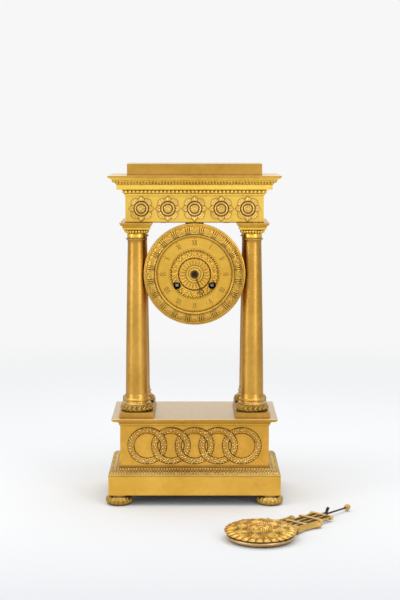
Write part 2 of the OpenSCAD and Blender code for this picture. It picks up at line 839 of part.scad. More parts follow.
module barrel(place) {
    color(brass) at_arbor(place) difference() {
        union() {
            gear(barrel_z, barrel_m, tip_twelve, t_great, great_t, 0);
            hole(barrel_d, t_great + great_t - barrel_len, t_great + great_t);
        }
        hole(wind_arbor_d + 2 * run_clear, t_inner_back, t_inner_front);
    }
}

module winding_arbor(place) {
    tip = t_face - 0.5;
    color(steel) at_arbor(place) {
        hole(wind_arbor_d, t_inner_back + end_play, t_front);
        hole(wind_pivot_d, t_back + 0.5, t_inner_back + cut);
        intersection() {
            translate([0, 0, t_front - cut]) block(wind_square, wind_square, tip - t_front + cut);
            hole(wind_arbor_d, t_front - cut, tip);
        }
    }
}

module going_barrel() { barrel(going_at); }
module strike_barrel() { barrel(strike_at); }
module going_arbor() { winding_arbor(going_at); }
module strike_arbor() { winding_arbor(strike_at); }

// A wheel with its pinion on one arbor
module wheel_on_arbor(place, z, m, tip, t_wheel, thick, phase, pinion_z, pinion_m, pinion_tip,
                      t_pinion, pinion_len, pinion_phase, arbor_d, pivot_d) {
    color(brass) at_arbor(place) {
        difference() {
            gear(z, m, tip, t_wheel, thick, phase);
            crossings(z, m, pinion_z * pinion_m / 2, t_wheel, thick);
        }
        gear(pinion_z, pinion_m, pinion_tip, t_pinion, pinion_len, pinion_phase);
        arbor(arbor_d, pivot_d);
    }
}

inter_pinion_phase = mesh_phase(barrel_z, 0, inter_pinion_z, bearing(going_at, inter_at));
inter_phase = mesh_phase(centre_pinion_z, 0, inter_z, bearing(centre_at, inter_at));
third_pinion_phase = mesh_phase(centre_z, 0, third_pinion_z, bearing(centre_at, third_at));
escape_pinion_phase = mesh_phase(third_z, 0, escape_pinion_z, bearing(third_at, escape_at));

module intermediate_wheel() {
    wheel_on_arbor(inter_at, inter_z, inter_m, tip_twelve, t_inter, wheel_t, inter_phase,
                   inter_pinion_z, barrel_m, tip_full, t_great - 0.8, great_t + 1.6,
                   inter_pinion_phase, heavy_arbor_d, heavy_pivot_d);
}

module centre_wheel() {
    wheel_on_arbor(centre_at, centre_z, centre_m, tip_eight, t_centre, thin_wheel_t, 0,
                   centre_pinion_z, inter_m, tip_full, t_inter - 0.8, wheel_t + 1.6, 0,
                   centre_arbor_d, heavy_pivot_d);
    color(steel) at_dial() hole(centre_arbor_d, t_inner_front - cut, t_bezel - 2);
}

module third_wheel() {
    wheel_on_arbor(third_at, third_z, third_m, tip_eight, t_third, thin_wheel_t, 0,
                   third_pinion_z, centre_m, tip_full, t_centre - 0.7, thin_wheel_t + 1.4,
                   third_pinion_phase, fine_arbor_d, fine_pivot_d);
}

module escape_wheel() {
    step = 360 / escape_teeth;
    root_r = escape_r - 1.3;
    color(brass) at_arbor(escape_at) {
        translate([0, 0, t_escape]) difference() {
            linear_extrude(thin_wheel_t) polygon([for (i = [0:escape_teeth - 1]) each
                [polar(escape_r, i * step), polar(root_r, (i + 0.3) * step),
                 polar(root_r, (i + 0.8) * step)]]);
            for (a = [0:72:288]) translate(concat(polar(root_r * 0.56, a), -cut))
                cylinder(r = root_r * 0.24, h = thin_wheel_t + 2 * cut);
        }
        gear(escape_pinion_z, third_m, tip_full, t_third - 0.7, thin_wheel_t + 1.4,
             escape_pinion_phase);
        arbor(fine_arbor_d, fine_pivot_d);
    }
}

cock_gap = 7;
cock_t = 2;
crutch_len = 46;
crutch_level = t_back - 5;
spring_level = t_back - cock_gap - cock_t - 3;

module pallets() {
    arm_len = 9.3;
    arm_w = 1.6;
    arm_droop = 32;
    hub_d = 4.4;
    color(steel) at_arbor(pallet_at) {
        translate([0, 0, t_escape]) {
            cylinder(d = hub_d, h = thin_wheel_t);
            for (a = [-arm_droop, 180 + arm_droop]) rotate([0, 0, a])
                translate([0, -arm_w / 2, 0]) cube([arm_len, arm_w, thin_wheel_t]);
        }
        hole(fine_arbor_d, t_back - cock_gap + end_play, t_inner_front - end_play);
        hole(fine_pivot_d, t_back - cock_gap - cock_t + 0.5, t_front - 0.5);
        translate([0, 0, crutch_level]) {
            cylinder(d = hub_d, h = thin_wheel_t);
            translate([-arm_w / 2, -crutch_len, 0]) cube([arm_w, crutch_len, thin_wheel_t]);
        }
        translate([0, -crutch_len, 0]) hole(2, spring_level - 1, crutch_level + thin_wheel_t);
    }
}

module back_cock() {
    leg_x = 11;
    leg_d = 5;
    plate_w = 2 * leg_x + leg_d;
    plate_low = -5;
    plate_high = 9;
    leg_rise = 2.5;
    seat_h = 4;
    color(brass) at_arbor(pallet_at) difference() {
        union() {
            for (sx = [-1, 1]) translate([sx * leg_x, leg_rise, 0])
                hole(leg_d, t_back - cock_gap - cock_t, t_back);
            translate([-plate_w / 2, plate_low, t_back - cock_gap - cock_t])
                cube([plate_w, plate_high - plate_low, cock_t]);
            translate([-seat_h, plate_high - seat_h, spring_level - 3])
                cube([2 * seat_h, seat_h, t_back - cock_gap - cut - spring_level + 3]);
        }
        hole(fine_pivot_d + 2 * run_clear, t_back - cock_gap - cock_t - cut, t_back);
    }
}

module suspension_spring() {
    seat_low = 5;
    strip_w = 5;
    strip_t = 0.4;
    strip_len = 14;
    chop = 3;
    color(steel) at_arbor(pallet_at) {
        translate([-strip_w / 2, seat_low - strip_len, spring_level - strip_t / 2])
            cube([strip_w, strip_len, strip_t]);
        translate([-chop, seat_low - strip_len - 2 * chop, spring_level - chop / 2])
            cube([2 * chop, 2 * chop, chop]);
    }
}

module cannon_pinion() {
    square_side = 3.4;
    pipe_top = t_bezel - 1.5;
    color(blued) at_dial() difference() {
        union() {
            gear(cannon_z, cannon_m, tip_full, t_cannon, great_t, 0);
            hole(hour_pipe_d - 0.4, t_cannon, t_hour - run_clear);
            hole(cannon_pipe_d, t_cannon, pipe_top);
            translate([0, 0, pipe_top - cut]) block(square_side, square_side, 2 + cut);
        }
        hole(centre_arbor_d + 2 * run_clear, t_cannon - cut, t_bezel - 2 + run_clear);
    }
}

module minute_stud() {
    color(steel) at_arbor(minute_at) {
        hole(stud_d, t_inner_front + 0.3, t_hour + 3);
        hole(2 * stud_d, t_front, t_cannon - run_clear);
    }
}

minute_phase = mesh_phase(cannon_z, 0, minute_z, 90);
minute_pinion_phase = mesh_phase(hour_z, 0, minute_pinion_z, 90);

module minute_wheel() {
    color(brass) at_arbor(minute_at) difference() {
        union() {
            difference() {
                gear(minute_z, cannon_m, tip_full, t_cannon, great_t, minute_phase);
                crossings(minute_z, cannon_m, minute_pinion_z * hour_m / 2, t_cannon, great_t);
            }
            gear(minute_pinion_z, hour_m, tip_full, t_cannon, t_hour + 2 - t_cannon,
                 minute_pinion_phase);
        }
        hole(stud_d + 2 * run_clear, t_cannon - cut, t_hour + 2 + cut);
    }
}

hand_t = 0.9;
hand_level = t_face + centre_t + 2.2;

module hour_wheel() {
    color(brass) at_dial() difference() {
        union() {
            gear(hour_z, hour_m, tip_twelve, t_hour, great_t, 0);
            hole(hour_pipe_d, t_hour, hand_level + hand_t);
        }
        hole(cannon_pipe_d + 2 * run_clear, t_hour - cut, hand_level + hand_t + cut);
    }
}

module hour_hand() {
    boss_r = hour_pipe_d / 2 + 2.4;
    arm_w = 1.4;
    tip_len = 6.5;
    ring_r = 3.6;
    ring_at = hand_len - tip_len;
    ring_bore = ring_r - 1.1;
    color(blued) at_dial() rotate([0, 0, -hand_angle]) translate([0, 0, hand_level])
        linear_extrude(hand_t) difference() {
            union() {
                circle(boss_r);
                translate([-arm_w / 2, 0]) square([arm_w, ring_at]);
                translate([0, ring_at]) circle(ring_r);
                polygon([[-1.1, ring_at + ring_r - 0.6], [1.1, ring_at + ring_r - 0.6], [0, hand_len]]);
            }
            circle(hour_pipe_d / 2);
            translate([0, ring_at]) circle(ring_bore);
        }
}

module pin_wheel() {
    wheel_r = 10;
    pin_circle = wheel_r - 1.6;
    pin_d = 1.2;
    pin_len = 3;
    pin_count = 8;
    phase = mesh_phase(barrel_z, 0, inter_pinion_z, 90);
    color(brass) at_arbor(pin_wheel_at) {
        hole(2 * wheel_r, t_inter, t_inter + wheel_t);
        for (i = [0:pin_count - 1]) translate(polar(pin_circle, i * 360 / pin_count))
            hole(pin_d, t_inter - pin_len, t_inter + wheel_t);
        gear(inter_pinion_z, barrel_m, tip_full, t_great - 0.8, great_t + 1.6, phase);
        arbor(heavy_arbor_d, heavy_pivot_d);
    }
}

bell_back = t_rear + 4;
bell_centre = bell_back + bell_r;
bell_mouth = bell_back + bell_depth;
bell_mouth_r = sqrt(pow(bell_r, 2) - pow(bell_r - bell_depth, 2));
hammer_gap = 1;
hammer_level = bell_mouth - 2;

module hammer() {
    head_d = 6.4;
    head_len = 8;
    arm_t = 2;
    drop = 25;
    head_x = -bell_mouth_r - hammer_gap - head_len;
    color(steel) at_dial() {
        translate(hammer_at) {
            hole(hammer_arbor_d, hammer_level - arm_t, t_front - 0.5);
            translate([-arm_t / 2 - 0.5, -drop, hammer_level - arm_t / 2])
                cube([arm_t + 1, drop, arm_t]);
        }
        translate([head_x, hammer_at[1] - drop, hammer_level]) rotate([0, 90, 0])
            cylinder(d = head_d, h = head_len);
    }
}

stand_at = [13, -18];
stand_stud_d = 4;

module bell() {
    color(bronze) at_dial() difference() {
        intersection() {
            translate([0, 0, bell_centre]) sphere(bell_r);
            hole(2 * bell_r, bell_back - cut, bell_mouth);
        }
        translate([0, 0, bell_centre]) sphere(bell_r - bell_wall);
        hole(stand_stud_d + 2 * run_clear, bell_back - cut, bell_back + 2 * bell_wall);
    }
}

module bell_stand() {
    arm_t = 2.5;
    arm_w = stand_stud_d + 2;
    arm_level = bell_mouth - 3;
    seat_r = stand_stud_d / 2 + 1.5;
    seat = bell_centre - sqrt(pow(bell_r - bell_wall, 2) - pow(seat_r, 2)) + run_clear;
    color(steel) at_dial() {
        translate(stand_at) hole(stand_stud_d, arm_level, t_back);
        rotate([0, 0, bearing(centre_at, stand_at)])
            translate([0, -arm_w / 2, arm_level])
                cube([norm(stand_at) + arm_w / 2, arm_w, arm_t]);
        hole(2 * seat_r, seat, arm_level + arm_t + 0.6);
        hole(stand_stud_d, bell_back - 3, arm_level);
        translate([0, 0, bell_back - 2.5]) cylinder(d = 2 * stand_stud_d, h = 2.5 - run_clear, $fn = 6);
    }
}

hinge_r = 2.5;
hinge_pin_d = 2;
hinge_x = drum_r + 3.5;
hinge_half = 14;
knuckle_half = 6;
cover_t = 2;
cover_play = 0.3;
hinge_t = t_rear - cover_play - cover_t / 2;

module at_hinge(from, to) {
    at_dial() translate([hinge_x, from, hinge_t]) rotate([-90, 0, 0]) linear_extrude(to - from) children();
}

module rear_cover() {
    rim_r = drum_r + 1;
    rim_w = 4;
    color(gilt) difference() {
        union() {
            at_dial() hole(2 * rim_r, hinge_t - cover_t / 2, hinge_t + cover_t / 2);
            at_dial() difference() {
                hole(2 * rim_r, hinge_t - cover_t / 2 - 1, hinge_t);
                hole(2 * (rim_r - rim_w), hinge_t - cover_t / 2 - 1 - cut, hinge_t + cut);
            }
            at_dial() translate([drum_r - 1, -knuckle_half, hinge_t - cover_t / 2])
                cube([hinge_x - drum_r + 1, 2 * knuckle_half, cover_t]);
            at_hinge(-knuckle_half, knuckle_half) circle(hinge_r);
        }
        at_hinge(-hinge_half, hinge_half) circle(d = hinge_pin_d + 2 * run_clear);
        at_dial() translate([knob_x, 0, 0])
            hole(knob_stem_d, hinge_t - cover_t, hinge_t + cover_t);
    }
}

module cover_hinge() {
    leaf_room = hinge_r + 1.3;
    leaf_len = 6;
    gap = 0.3;
    color(brass) difference() {
        union() {
            at_dial() translate([drum_r - 3, -hinge_half, hinge_t + leaf_room])
                cube([hinge_x - drum_r + 3, 2 * hinge_half, leaf_len]);
            for (low = [-hinge_half, knuckle_half + gap]) {
                at_hinge(low, low + hinge_half - knuckle_half - gap) circle(hinge_r);
                at_dial() translate([hinge_x - 2, low, hinge_t])
                    cube([4, hinge_half - knuckle_half - gap, leaf_room + cut]);
            }
        }
        at_dial() hole(drum_d, t_rear - 5 * cut, t_dial);
        at_hinge(-hinge_half - cut, hinge_half + cut) circle(d = hinge_pin_d + 2 * run_clear);
    }
    color(steel) at_hinge(-hinge_half - 0.5, hinge_half + 0.5) circle(d = hinge_pin_d);
}

knob_x = -drum_r + 9;
knob_stem_d = 3;

module cover_knob() {
    ball_d = 8;
    face = hinge_t - cover_t / 2;
    color(gilt) at_dial() translate([knob_x, 0, 0]) {
        hole(knob_stem_d, face - 4, hinge_t + cover_t / 2);
        hole(knob_stem_d + 3, face - 1, face);
        translate([0, 0, face - 6]) sphere(d = ball_d);
    }
}

// Pendulum frame: x along the pendulum from the bob centre, z up from the ground
module at_bob() {
    translate([bob_x, -bob_y, 0]) rotate([0, 0, pendulum_angle]) children();
}

bob_r = bob_d / 2;
scallop_r = PI * bob_r / scallop_count * 0.82;
lens_r = bob_r - scallop_r;
grid_half = grid_pitch * (grid_rods - 1) / 2 + 3.4;
rail_w = 3;
neck_top = 95;
neck_foot = bob_r + 6;
bar_places = [neck_foot + bar_len / 2, 73, 103, 126];
grid_top = bar_places[3] + bar_len / 2;

module bob_lens() {
    bevel = lens_t * 0.5;
    color(brass) at_bob() rotate_extrude()
        polygon([[0, 0], [lens_r - bevel, 0], [lens_r, bevel], [lens_r, lens_t], [0, lens_t]]);
}

module bob_front() {
    dome_r = lens_r - 6;
    top = lens_t + face_t;
    rings = 8;
    dome = [for (i = [0:rings]) [dome_r * cos(90 * i / rings), top + dome_h * sin(90 * i / rings)]];
    color(gilt) at_bob() {
        translate([0, 0, lens_t]) {
            cylinder(r = lens_r, h = face_t);
            for (i = [0:scallop_count - 1]) translate(polar(lens_r, i * 360 / scallop_count))
                cylinder(r = scallop_r, h = face_t);
        }
        rotate_extrude() polygon(concat([[0, top - cut], [dome_r, top - cut]], dome));
    }
}

// Lyre-shaped neck: hollow sides swing out to a finial each side of the gridiron
module pendulum_neck() {
    waist = 66;
    sweep_r = 60;
    root = bob_r - 12;
    root_spread = 10;
    top_spread = 6;
    lift = 2;
    finial_r = 4;
    finial_out = 2.4;
    half_waist = grid_half + rail_w;
    neck_h = 7;
    color(gilt) at_bob() translate([0, 0, lift]) {
        linear_extrude(neck_h) difference() {
            polygon([[root, -half_waist - root_spread], [neck_top, -half_waist - top_spread],
                     [neck_top, half_waist + top_spread], [root, half_waist + root_spread]]);
            for (sy = [-1, 1]) translate([waist, sy * (half_waist + sweep_r)])
                circle(sweep_r);
            translate([neck_foot, -grid_half]) square([neck_top, 2 * grid_half]);
            circle(bob_r + fit_clear);
        }
        for (sy = [-1, 1]) translate([neck_top, sy * (half_waist + finial_out), 0])
            cylinder(r = finial_r, h = neck_h);
    }
}

module gridiron_bars() {
    width = 2 * (grid_half - fit_clear);
    color(brass) at_bob() difference() {
        for (x = bar_places) translate([x - bar_len / 2, -width / 2, rod_axis_h - bar_t / 2])
            cube([bar_len, width, bar_t]);
        for (i = [0:grid_rods - 1]) grid_rod(i, grid_rod_d + 2 * run_clear, cut);
    }
}

module grid_rod(i, d, extra) {
    translate([neck_foot - extra, (i - (grid_rods - 1) / 2) * grid_pitch, rod_axis_h])
        rotate([0, 90, 0]) cylinder(d = d, h = grid_top - neck_foot + 2 * extra);
}

module gridiron_rods() {
    color(steel) at_bob() for (i = [0:grid_rods - 1]) grid_rod(i, grid_rod_d, 0);
}

hook_len = 9;
hook_w = 5;

module pendulum_hook() {
    rise = 8;
    thick = 2.6;
    color(blued) at_bob() difference() {
        translate([grid_top, hook_w / 2, rod_axis_h - bar_t / 2]) rotate([90, 0, 0])
            linear_extrude(hook_w) polygon([[0, 0], [hook_len, 0], [hook_len, bar_t + rise],
                [hook_len - thick, bar_t + rise], [hook_len - thick, bar_t], [0, bar_t]]);
        translate([grid_top - cut, 0, rod_axis_h]) rotate([0, 90, 0])
            cylinder(d = top_rod_d + 2 * run_clear, h = hook_len + 2 * cut);
    }
}

knob_len = 8;

module top_rod() {
    color(blued) at_bob() translate([grid_top, 0, rod_axis_h]) rotate([0, 90, 0])
        cylinder(d = top_rod_d, h = knob_reach + knob_len / 2 + 1 - grid_top);
}

module rating_knob() {
    color(brass) at_bob() translate([knob_reach - knob_len / 2, 0, rod_axis_h]) rotate([0, 90, 0])
        rotate_extrude() polygon([[top_rod_d / 2 + run_clear, 0], [knob_d / 2 - 1.4, 0],
            [knob_d / 2, 1.6], [knob_d / 2, knob_len - 3], [knob_d / 2 - 1.6, knob_len - 1.6],
            [knob_d / 2 - 1.6, knob_len], [top_rod_d / 2 + run_clear, knob_len]]);
}

bun_feet();
base_plinth();
base_moulding();
base_block();
wreath_mount();
base_cap();
case_bolts();
column_plinths();
column_bases();
column_shafts();
column_capitals();
abacus_blocks();
tie_rods();
case_nuts();
frieze_box();
frieze_rosettes();
bead_course();
cornice();
attic_block();
drum_saddle();
drum_case();
bezel();
dial_plate();
chapter_ring();
dial_centre();
dial_posts();
front_plate();
back_plate();
plate_pillars();
going_barrel();
going_arbor();
strike_barrel();
strike_arbor();
intermediate_wheel();
centre_wheel();
third_wheel();
escape_wheel();
pallets();
back_cock();
suspension_spring();
cannon_pinion();
minute_stud();
minute_wheel();
hour_wheel();
hour_hand();
pin_wheel();
hammer();
bell();
bell_stand();
rear_cover();
cover_hinge();
cover_knob();
bob_lens();
bob_front();
pendulum_neck();
gridiron_bars();
gridiron_rods();
pendulum_hook();
top_rod();
rating_knob();
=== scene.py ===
# Gilt bronze portico clock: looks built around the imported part, in the part's own frame.
import math
from functools import reduce

import bmesh
import bpy
import numpy as np
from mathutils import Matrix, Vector


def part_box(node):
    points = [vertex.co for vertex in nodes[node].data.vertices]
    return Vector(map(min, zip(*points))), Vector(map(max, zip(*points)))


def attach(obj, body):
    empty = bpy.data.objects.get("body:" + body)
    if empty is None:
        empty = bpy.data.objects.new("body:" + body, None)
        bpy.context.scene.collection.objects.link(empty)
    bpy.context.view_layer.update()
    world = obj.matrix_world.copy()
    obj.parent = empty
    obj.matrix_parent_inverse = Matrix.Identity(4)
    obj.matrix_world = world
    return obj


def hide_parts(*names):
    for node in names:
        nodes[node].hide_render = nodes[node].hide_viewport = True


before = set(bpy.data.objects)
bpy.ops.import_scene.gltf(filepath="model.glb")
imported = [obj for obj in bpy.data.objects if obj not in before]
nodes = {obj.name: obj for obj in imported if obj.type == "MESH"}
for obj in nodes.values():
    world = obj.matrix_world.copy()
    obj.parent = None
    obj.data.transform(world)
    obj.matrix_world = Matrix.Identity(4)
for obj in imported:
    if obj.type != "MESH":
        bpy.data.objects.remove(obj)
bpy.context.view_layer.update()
scene = bpy.context.scene
MM = 0.001
TAU = 2 * math.pi
SIN, COS = np.sin, np.cos


def span(node):
    """Lowest and highest corner of a CAD node in millimetres."""
    low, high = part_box(node)
    return np.array(low) / MM, np.array(high) / MM


def underside(node):
    """Height of the lowest point of a CAD node in millimetres."""
    return span(node)[0][2]


# Materials

class Net:
    """Node tree of a material or a world, with short calls to add and join nodes."""

    def __init__(self, owner, coords="Object"):
        owner.use_nodes = True
        self.owner = owner
        self.tree = owner.node_tree
        self.tree.nodes.clear()
        self.coords = self.add("ShaderNodeTexCoord").outputs[coords]

    def add(self, kind, values=None, **settings):
        node = self.tree.nodes.new(kind)
        for key, value in settings.items():
            setattr(node, key, value)
        for key, value in (values or {}).items():
            if isinstance(value, bpy.types.NodeSocket):
                self.tree.links.new(value, node.inputs[key])
            else:
                node.inputs[key].default_value = value
        return node

    def noise(self, scale, detail, rough=0.55, stretch=None):
        vector = self.coords
        if stretch:
            vector = self.add("ShaderNodeMapping", {"Vector": vector, "Scale": stretch}).outputs[0]
        values = {"Vector": vector, "Scale": scale, "Detail": detail, "Roughness": rough}
        return self.add("ShaderNodeTexNoise", values).outputs["Fac"]

    def ramp(self, value, low, high, out_low=0.0, out_high=1.0):
        values = {"Value": value, "From Min": low, "From Max": high, "To Min": out_low, "To Max": out_high}
        return self.add("ShaderNodeMapRange", values, interpolation_type="SMOOTHSTEP").outputs["Result"]

    def combine(self, kind, a, b):
        return self.add("ShaderNodeMath", {0: a, 1: b}, operation=kind).outputs[0]

    def mix(self, factor, a, b):
        return self.add("ShaderNodeMix", {0: factor, 6: a, 7: b}, data_type="RGBA").outputs[2]

    def axis(self, vector, letter):
        return self.add("ShaderNodeSeparateXYZ", {0: vector}).outputs[letter]

    def finish(self, shader, kind="Material"):
        self.add("ShaderNodeOutput" + kind, {"Surface": shader.outputs[0]})
        return self.owner


def rgb(red, green, blue):
    return (red, green, blue, 1.0)


def darker(colour, part):
    return rgb(*(c * part for c in colour))


# Colour of the real patina in the hollows, also laid as painted shade in recesses and in contact gaps
# between parts
PATINA_AND_SHADE = rgb(0.115, 0.050, 0.008)
# Dust colour, also a painted sheen: the pale reflection of the bright room on faces that look up
DUST_AND_SHEEN = rgb(0.72, 0.58, 0.41)
SHADE = rgb(0.020, 0.016, 0.012)


def metal(name, light, dark, rough, patina_and_shade=0.8, reach=0.004, spots=0.2, grain=0.03, dust_and_sheen=0.0, under=0.0,
          streak=None):
    """Gilt, brass or steel: uneven tone, worn spots, a dark deposit in the recesses that is partly painted
    shade there and in contact gaps, and fine surface grain.
    Dust with a painted sheen of the room pales the faces that look up, under paints shade on the faces that
    look down, streak draws lines."""
    net = Net(bpy.data.materials.new(name))
    broad = net.noise(13.0, 4.0)
    fine = net.noise(150.0, 4.0, 0.6)
    cloud = net.combine("ADD", net.combine("MULTIPLY", broad, 0.72), net.combine("MULTIPLY", fine, 0.28))
    colour = net.mix(net.ramp(cloud, 0.37, 0.63), rgb(*dark), rgb(*light))
    if streak:
        lines = net.ramp(net.noise(30.0, 4.0, 0.55, streak), 0.46, 0.74, 0.0, 0.35)
        colour = net.mix(lines, colour, darker(dark, 0.66))
    worn = net.ramp(net.noise(80.0, 5.0, 0.7), 0.57, 0.74, 0.0, spots)
    colour = net.mix(worn, colour, darker(dark, 0.5))
    if dust_and_sheen or under:
        up = net.axis(net.add("ShaderNodeNewGeometry").outputs["Normal"], "Z")
        # Faces that look up: dust together with a painted sheen of the room
        colour = net.mix(net.ramp(up, 0.5, 0.95, 0.0, dust_and_sheen), colour, DUST_AND_SHEEN)
        # Faces that look down: painted shade
        colour = net.mix(net.ramp(up, -0.9, -0.5, under, 0.0), colour, SHADE)
    # Ambient occlusion lays patina and painted shade where recesses and neighbouring parts shut out light
    hidden = net.add("ShaderNodeAmbientOcclusion", {"Distance": reach}, samples=6)
    recess = net.ramp(hidden.outputs["AO"], 0.40, 0.90, patina_and_shade, 0.0)
    colour = net.mix(recess, colour, PATINA_AND_SHADE)
    sheen = net.ramp(fine, 0.35, 0.68, rough[0], rough[1])
    grit = net.noise(1500.0, 2.0, 0.5)
    bump = net.add("ShaderNodeBump", {"Strength": grain, "Distance": 0.0004, "Height": grit})
    return net.finish(net.add("ShaderNodeBsdfPrincipled", {
        "Base Color": colour, "Roughness": sheen, "Metallic": 1.0, "Normal": bump.outputs["Normal"]}))


GILT = metal("gilt_matt", (0.79, 0.475, 0.08), (0.65, 0.365, 0.052), (0.32, 0.44), dust_and_sheen=0.85)
# The base plinth gets painted shade on its underside
BASE = metal("gilt_base", (0.84, 0.505, 0.09), (0.72, 0.41, 0.06), (0.34, 0.46), dust_and_sheen=0.85, under=1.0)
BLOCK = metal("gilt_block", (0.83, 0.475, 0.08), (0.67, 0.362, 0.054), (0.34, 0.46), spots=0.25)
ATTIC = metal("gilt_attic", (0.56, 0.32, 0.06), (0.45, 0.242, 0.038), (0.34, 0.46), dust_and_sheen=0.9)
FRIEZE = metal("gilt_frieze", (0.92, 0.6, 0.105), (0.82, 0.5, 0.075), (0.32, 0.42), spots=0.15, dust_and_sheen=0.7)
PLINTHS = metal("gilt_plinths", (0.64, 0.38, 0.07), (0.5, 0.275, 0.046), (0.36, 0.48), patina_and_shade=0.5,
                reach=0.002, dust_and_sheen=0.6)
CORNICE = metal("gilt_cornice", (1.0, 0.68, 0.125), (0.88, 0.55, 0.085), (0.3, 0.42), patina_and_shade=0.95,
                reach=0.0026, spots=0.15, dust_and_sheen=0.7)
DULL = metal("gilt_dull", (0.6, 0.385, 0.09), (0.455, 0.275, 0.052), (0.42, 0.55), patina_and_shade=0.9,
             reach=0.0028, dust_and_sheen=0.35)
BROWN = metal("gilt_brown", (0.46, 0.26, 0.06), (0.34, 0.18, 0.036), (0.42, 0.55))
ROSETTE = metal("gilt_rosette", (0.82, 0.54, 0.15), (0.64, 0.39, 0.085), (0.34, 0.46), patina_and_shade=0.85,
                reach=0.002, spots=0.15)
LAUREL = metal("gilt_laurel", (0.95, 0.7, 0.25), (0.8, 0.54, 0.15), (0.3, 0.42), patina_and_shade=0.6,
               reach=0.0011, spots=0.1)
BERRY = metal("gilt_berries", (1.0, 0.82, 0.45), (0.92, 0.7, 0.32), (0.24, 0.34), patina_and_shade=0.4,
              reach=0.0008, spots=0.0)
# Gilt bed of the wreaths, darkened as painted shade in the gaps between the leaves
BED_SHADE = metal("gilt_wreath_bed_painted_shade", (0.58, 0.38, 0.1), (0.44, 0.27, 0.06), (0.36, 0.48), patina_and_shade=0.7,
               reach=0.0012)
MOULDING = metal("gilt_moulding", (0.68, 0.485, 0.153), (0.53, 0.35, 0.084), (0.38, 0.5),
                 reach=0.0018, dust_and_sheen=0.2)
MEDAL = metal("gilt_medallion", (0.89, 0.57, 0.106), (0.75, 0.445, 0.07), (0.32, 0.44), patina_and_shade=0.75,
              reach=0.0015, spots=0.12)
BEZEL = metal("gilt_bezel", (0.69, 0.43, 0.087), (0.54, 0.318, 0.056), (0.32, 0.44), patina_and_shade=0.9,
              reach=0.0016, spots=0.15)
SHELL = metal("gilt_bob", (0.72, 0.46, 0.125), (0.55, 0.335, 0.072), (0.36, 0.48), patina_and_shade=0.85, reach=0.002)
BURNISHED = metal("gilt_burnished", (0.68, 0.385, 0.078), (0.56, 0.3, 0.052), (0.33, 0.39), spots=0.1,
                  grain=0.003, streak=(3.0, 3.0, 0.35))
DIAL = metal("gilt_dial", (0.84, 0.5, 0.078), (0.75, 0.43, 0.057), (0.28, 0.38), spots=0.08, grain=0.015)
BRASS = metal("polished_brass", (0.86, 0.6, 0.2), (0.66, 0.41, 0.1), (0.22, 0.36), patina_and_shade=0.6)
BRONZE = metal("turned_bronze", (0.55, 0.31, 0.07), (0.36, 0.18, 0.035), (0.3, 0.45), patina_and_shade=0.6)
STEEL = metal("ground_steel", (0.4, 0.36, 0.32), (0.25, 0.2, 0.16), (0.28, 0.44), patina_and_shade=0.5)
DARK = metal("blued_steel", (0.055, 0.048, 0.048), (0.03, 0.025, 0.026), (0.28, 0.42), patina_and_shade=0.3,
             spots=0.1)
HAND = metal("browned_steel", (0.17, 0.1, 0.03), (0.085, 0.048, 0.016), (0.3, 0.45), patina_and_shade=0.3)
PALE = metal("pale_brass", (0.8, 0.6, 0.31), (0.6, 0.4, 0.18), (0.36, 0.5), reach=0.003)
# Brass painted near black as the shade seen in the winding holes and behind the dial
HOLE_SHADE = metal("brass_painted_shade", (0.03, 0.018, 0.008), (0.018, 0.01, 0.005), (0.5, 0.65), patina_and_shade=0.4)
INK = metal("worn_ink", (0.075, 0.04, 0.01), (0.34, 0.19, 0.03), (0.4, 0.55), patina_and_shade=0.0, spots=0.0)
# Dark lines laid as painted shade at the edges of raised bands and in the dial centre's groove
SHADE_LINES = metal("painted_shade_lines", (0.23, 0.115, 0.018), (0.15, 0.068, 0.011), (0.45, 0.6), patina_and_shade=0.4)


# Mesh building in millimetres

class Shape:
    """Vertices and faces of one piece, gathered from several closed forms.
    The faces of a form are one array, or a list of arrays where their sizes differ."""

    def __init__(self):
        self.verts, self.faces, self.count = [], [], 0

    def add(self, form, place=None):
        verts, faces = form
        verts = np.asarray(verts, float).reshape(-1, 3)
        if place is not None:
            verts = place(verts)
        self.verts.append(verts)
        for block in faces if isinstance(faces, list) else [faces]:
            self.faces.extend((np.asarray(block) + self.count).tolist())
        self.count += len(verts)
        return self


SHARP = math.radians(38)
SAME_POINT = 2e-6


def make(name, shape, material, body="case", replaces=(), bevel=0.0):
    """Turns a shape into a piece that rides on a body."""
    mesh = bpy.data.meshes.new(name)
    mesh.from_pydata((np.concatenate(shape.verts) * MM).tolist(), [], shape.faces)
    clean = bmesh.new()
    clean.from_mesh(mesh)
    bmesh.ops.remove_doubles(clean, verts=clean.verts, dist=SAME_POINT)
    bmesh.ops.recalc_face_normals(clean, faces=clean.faces)
    clean.to_mesh(mesh)
    clean.free()
    mesh.shade_smooth()
    mesh.set_sharp_from_angle(angle=SHARP)
    piece = bpy.data.objects.new(name, mesh)
    scene.collection.objects.link(piece)
    mesh.materials.append(material)
    if bevel:
        soften(piece, bevel)
    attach(piece, body)
    if replaces:
        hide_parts(*replaces)
    return piece


def soften(piece, width):
    edge = piece.modifiers.new("edges", "BEVEL")
    edge.width = width * MM
    edge.segments = 2
    edge.limit_method = "ANGLE"
    edge.angle_limit = math.radians(40)


def quads(rows, cols, wrap_rows=False, wrap_cols=False):
    r = np.arange(rows if wrap_rows else rows - 1)[:, None]
    c = np.arange(cols if wrap_cols else cols - 1)[None, :]
    r2, c2 = (r + 1) % rows, (c + 1) % cols
    ring = np.broadcast_arrays(r * cols + c, r * cols + c2, r2 * cols + c2, r2 * cols + c)
    return np.stack(ring, -1).reshape(-1, 4)


def around(seg):
    return np.arange(seg)[None, :] * TAU / seg


def polar(r, angle, z):
    return np.stack([r * COS(angle), r * SIN(angle), z], -1)


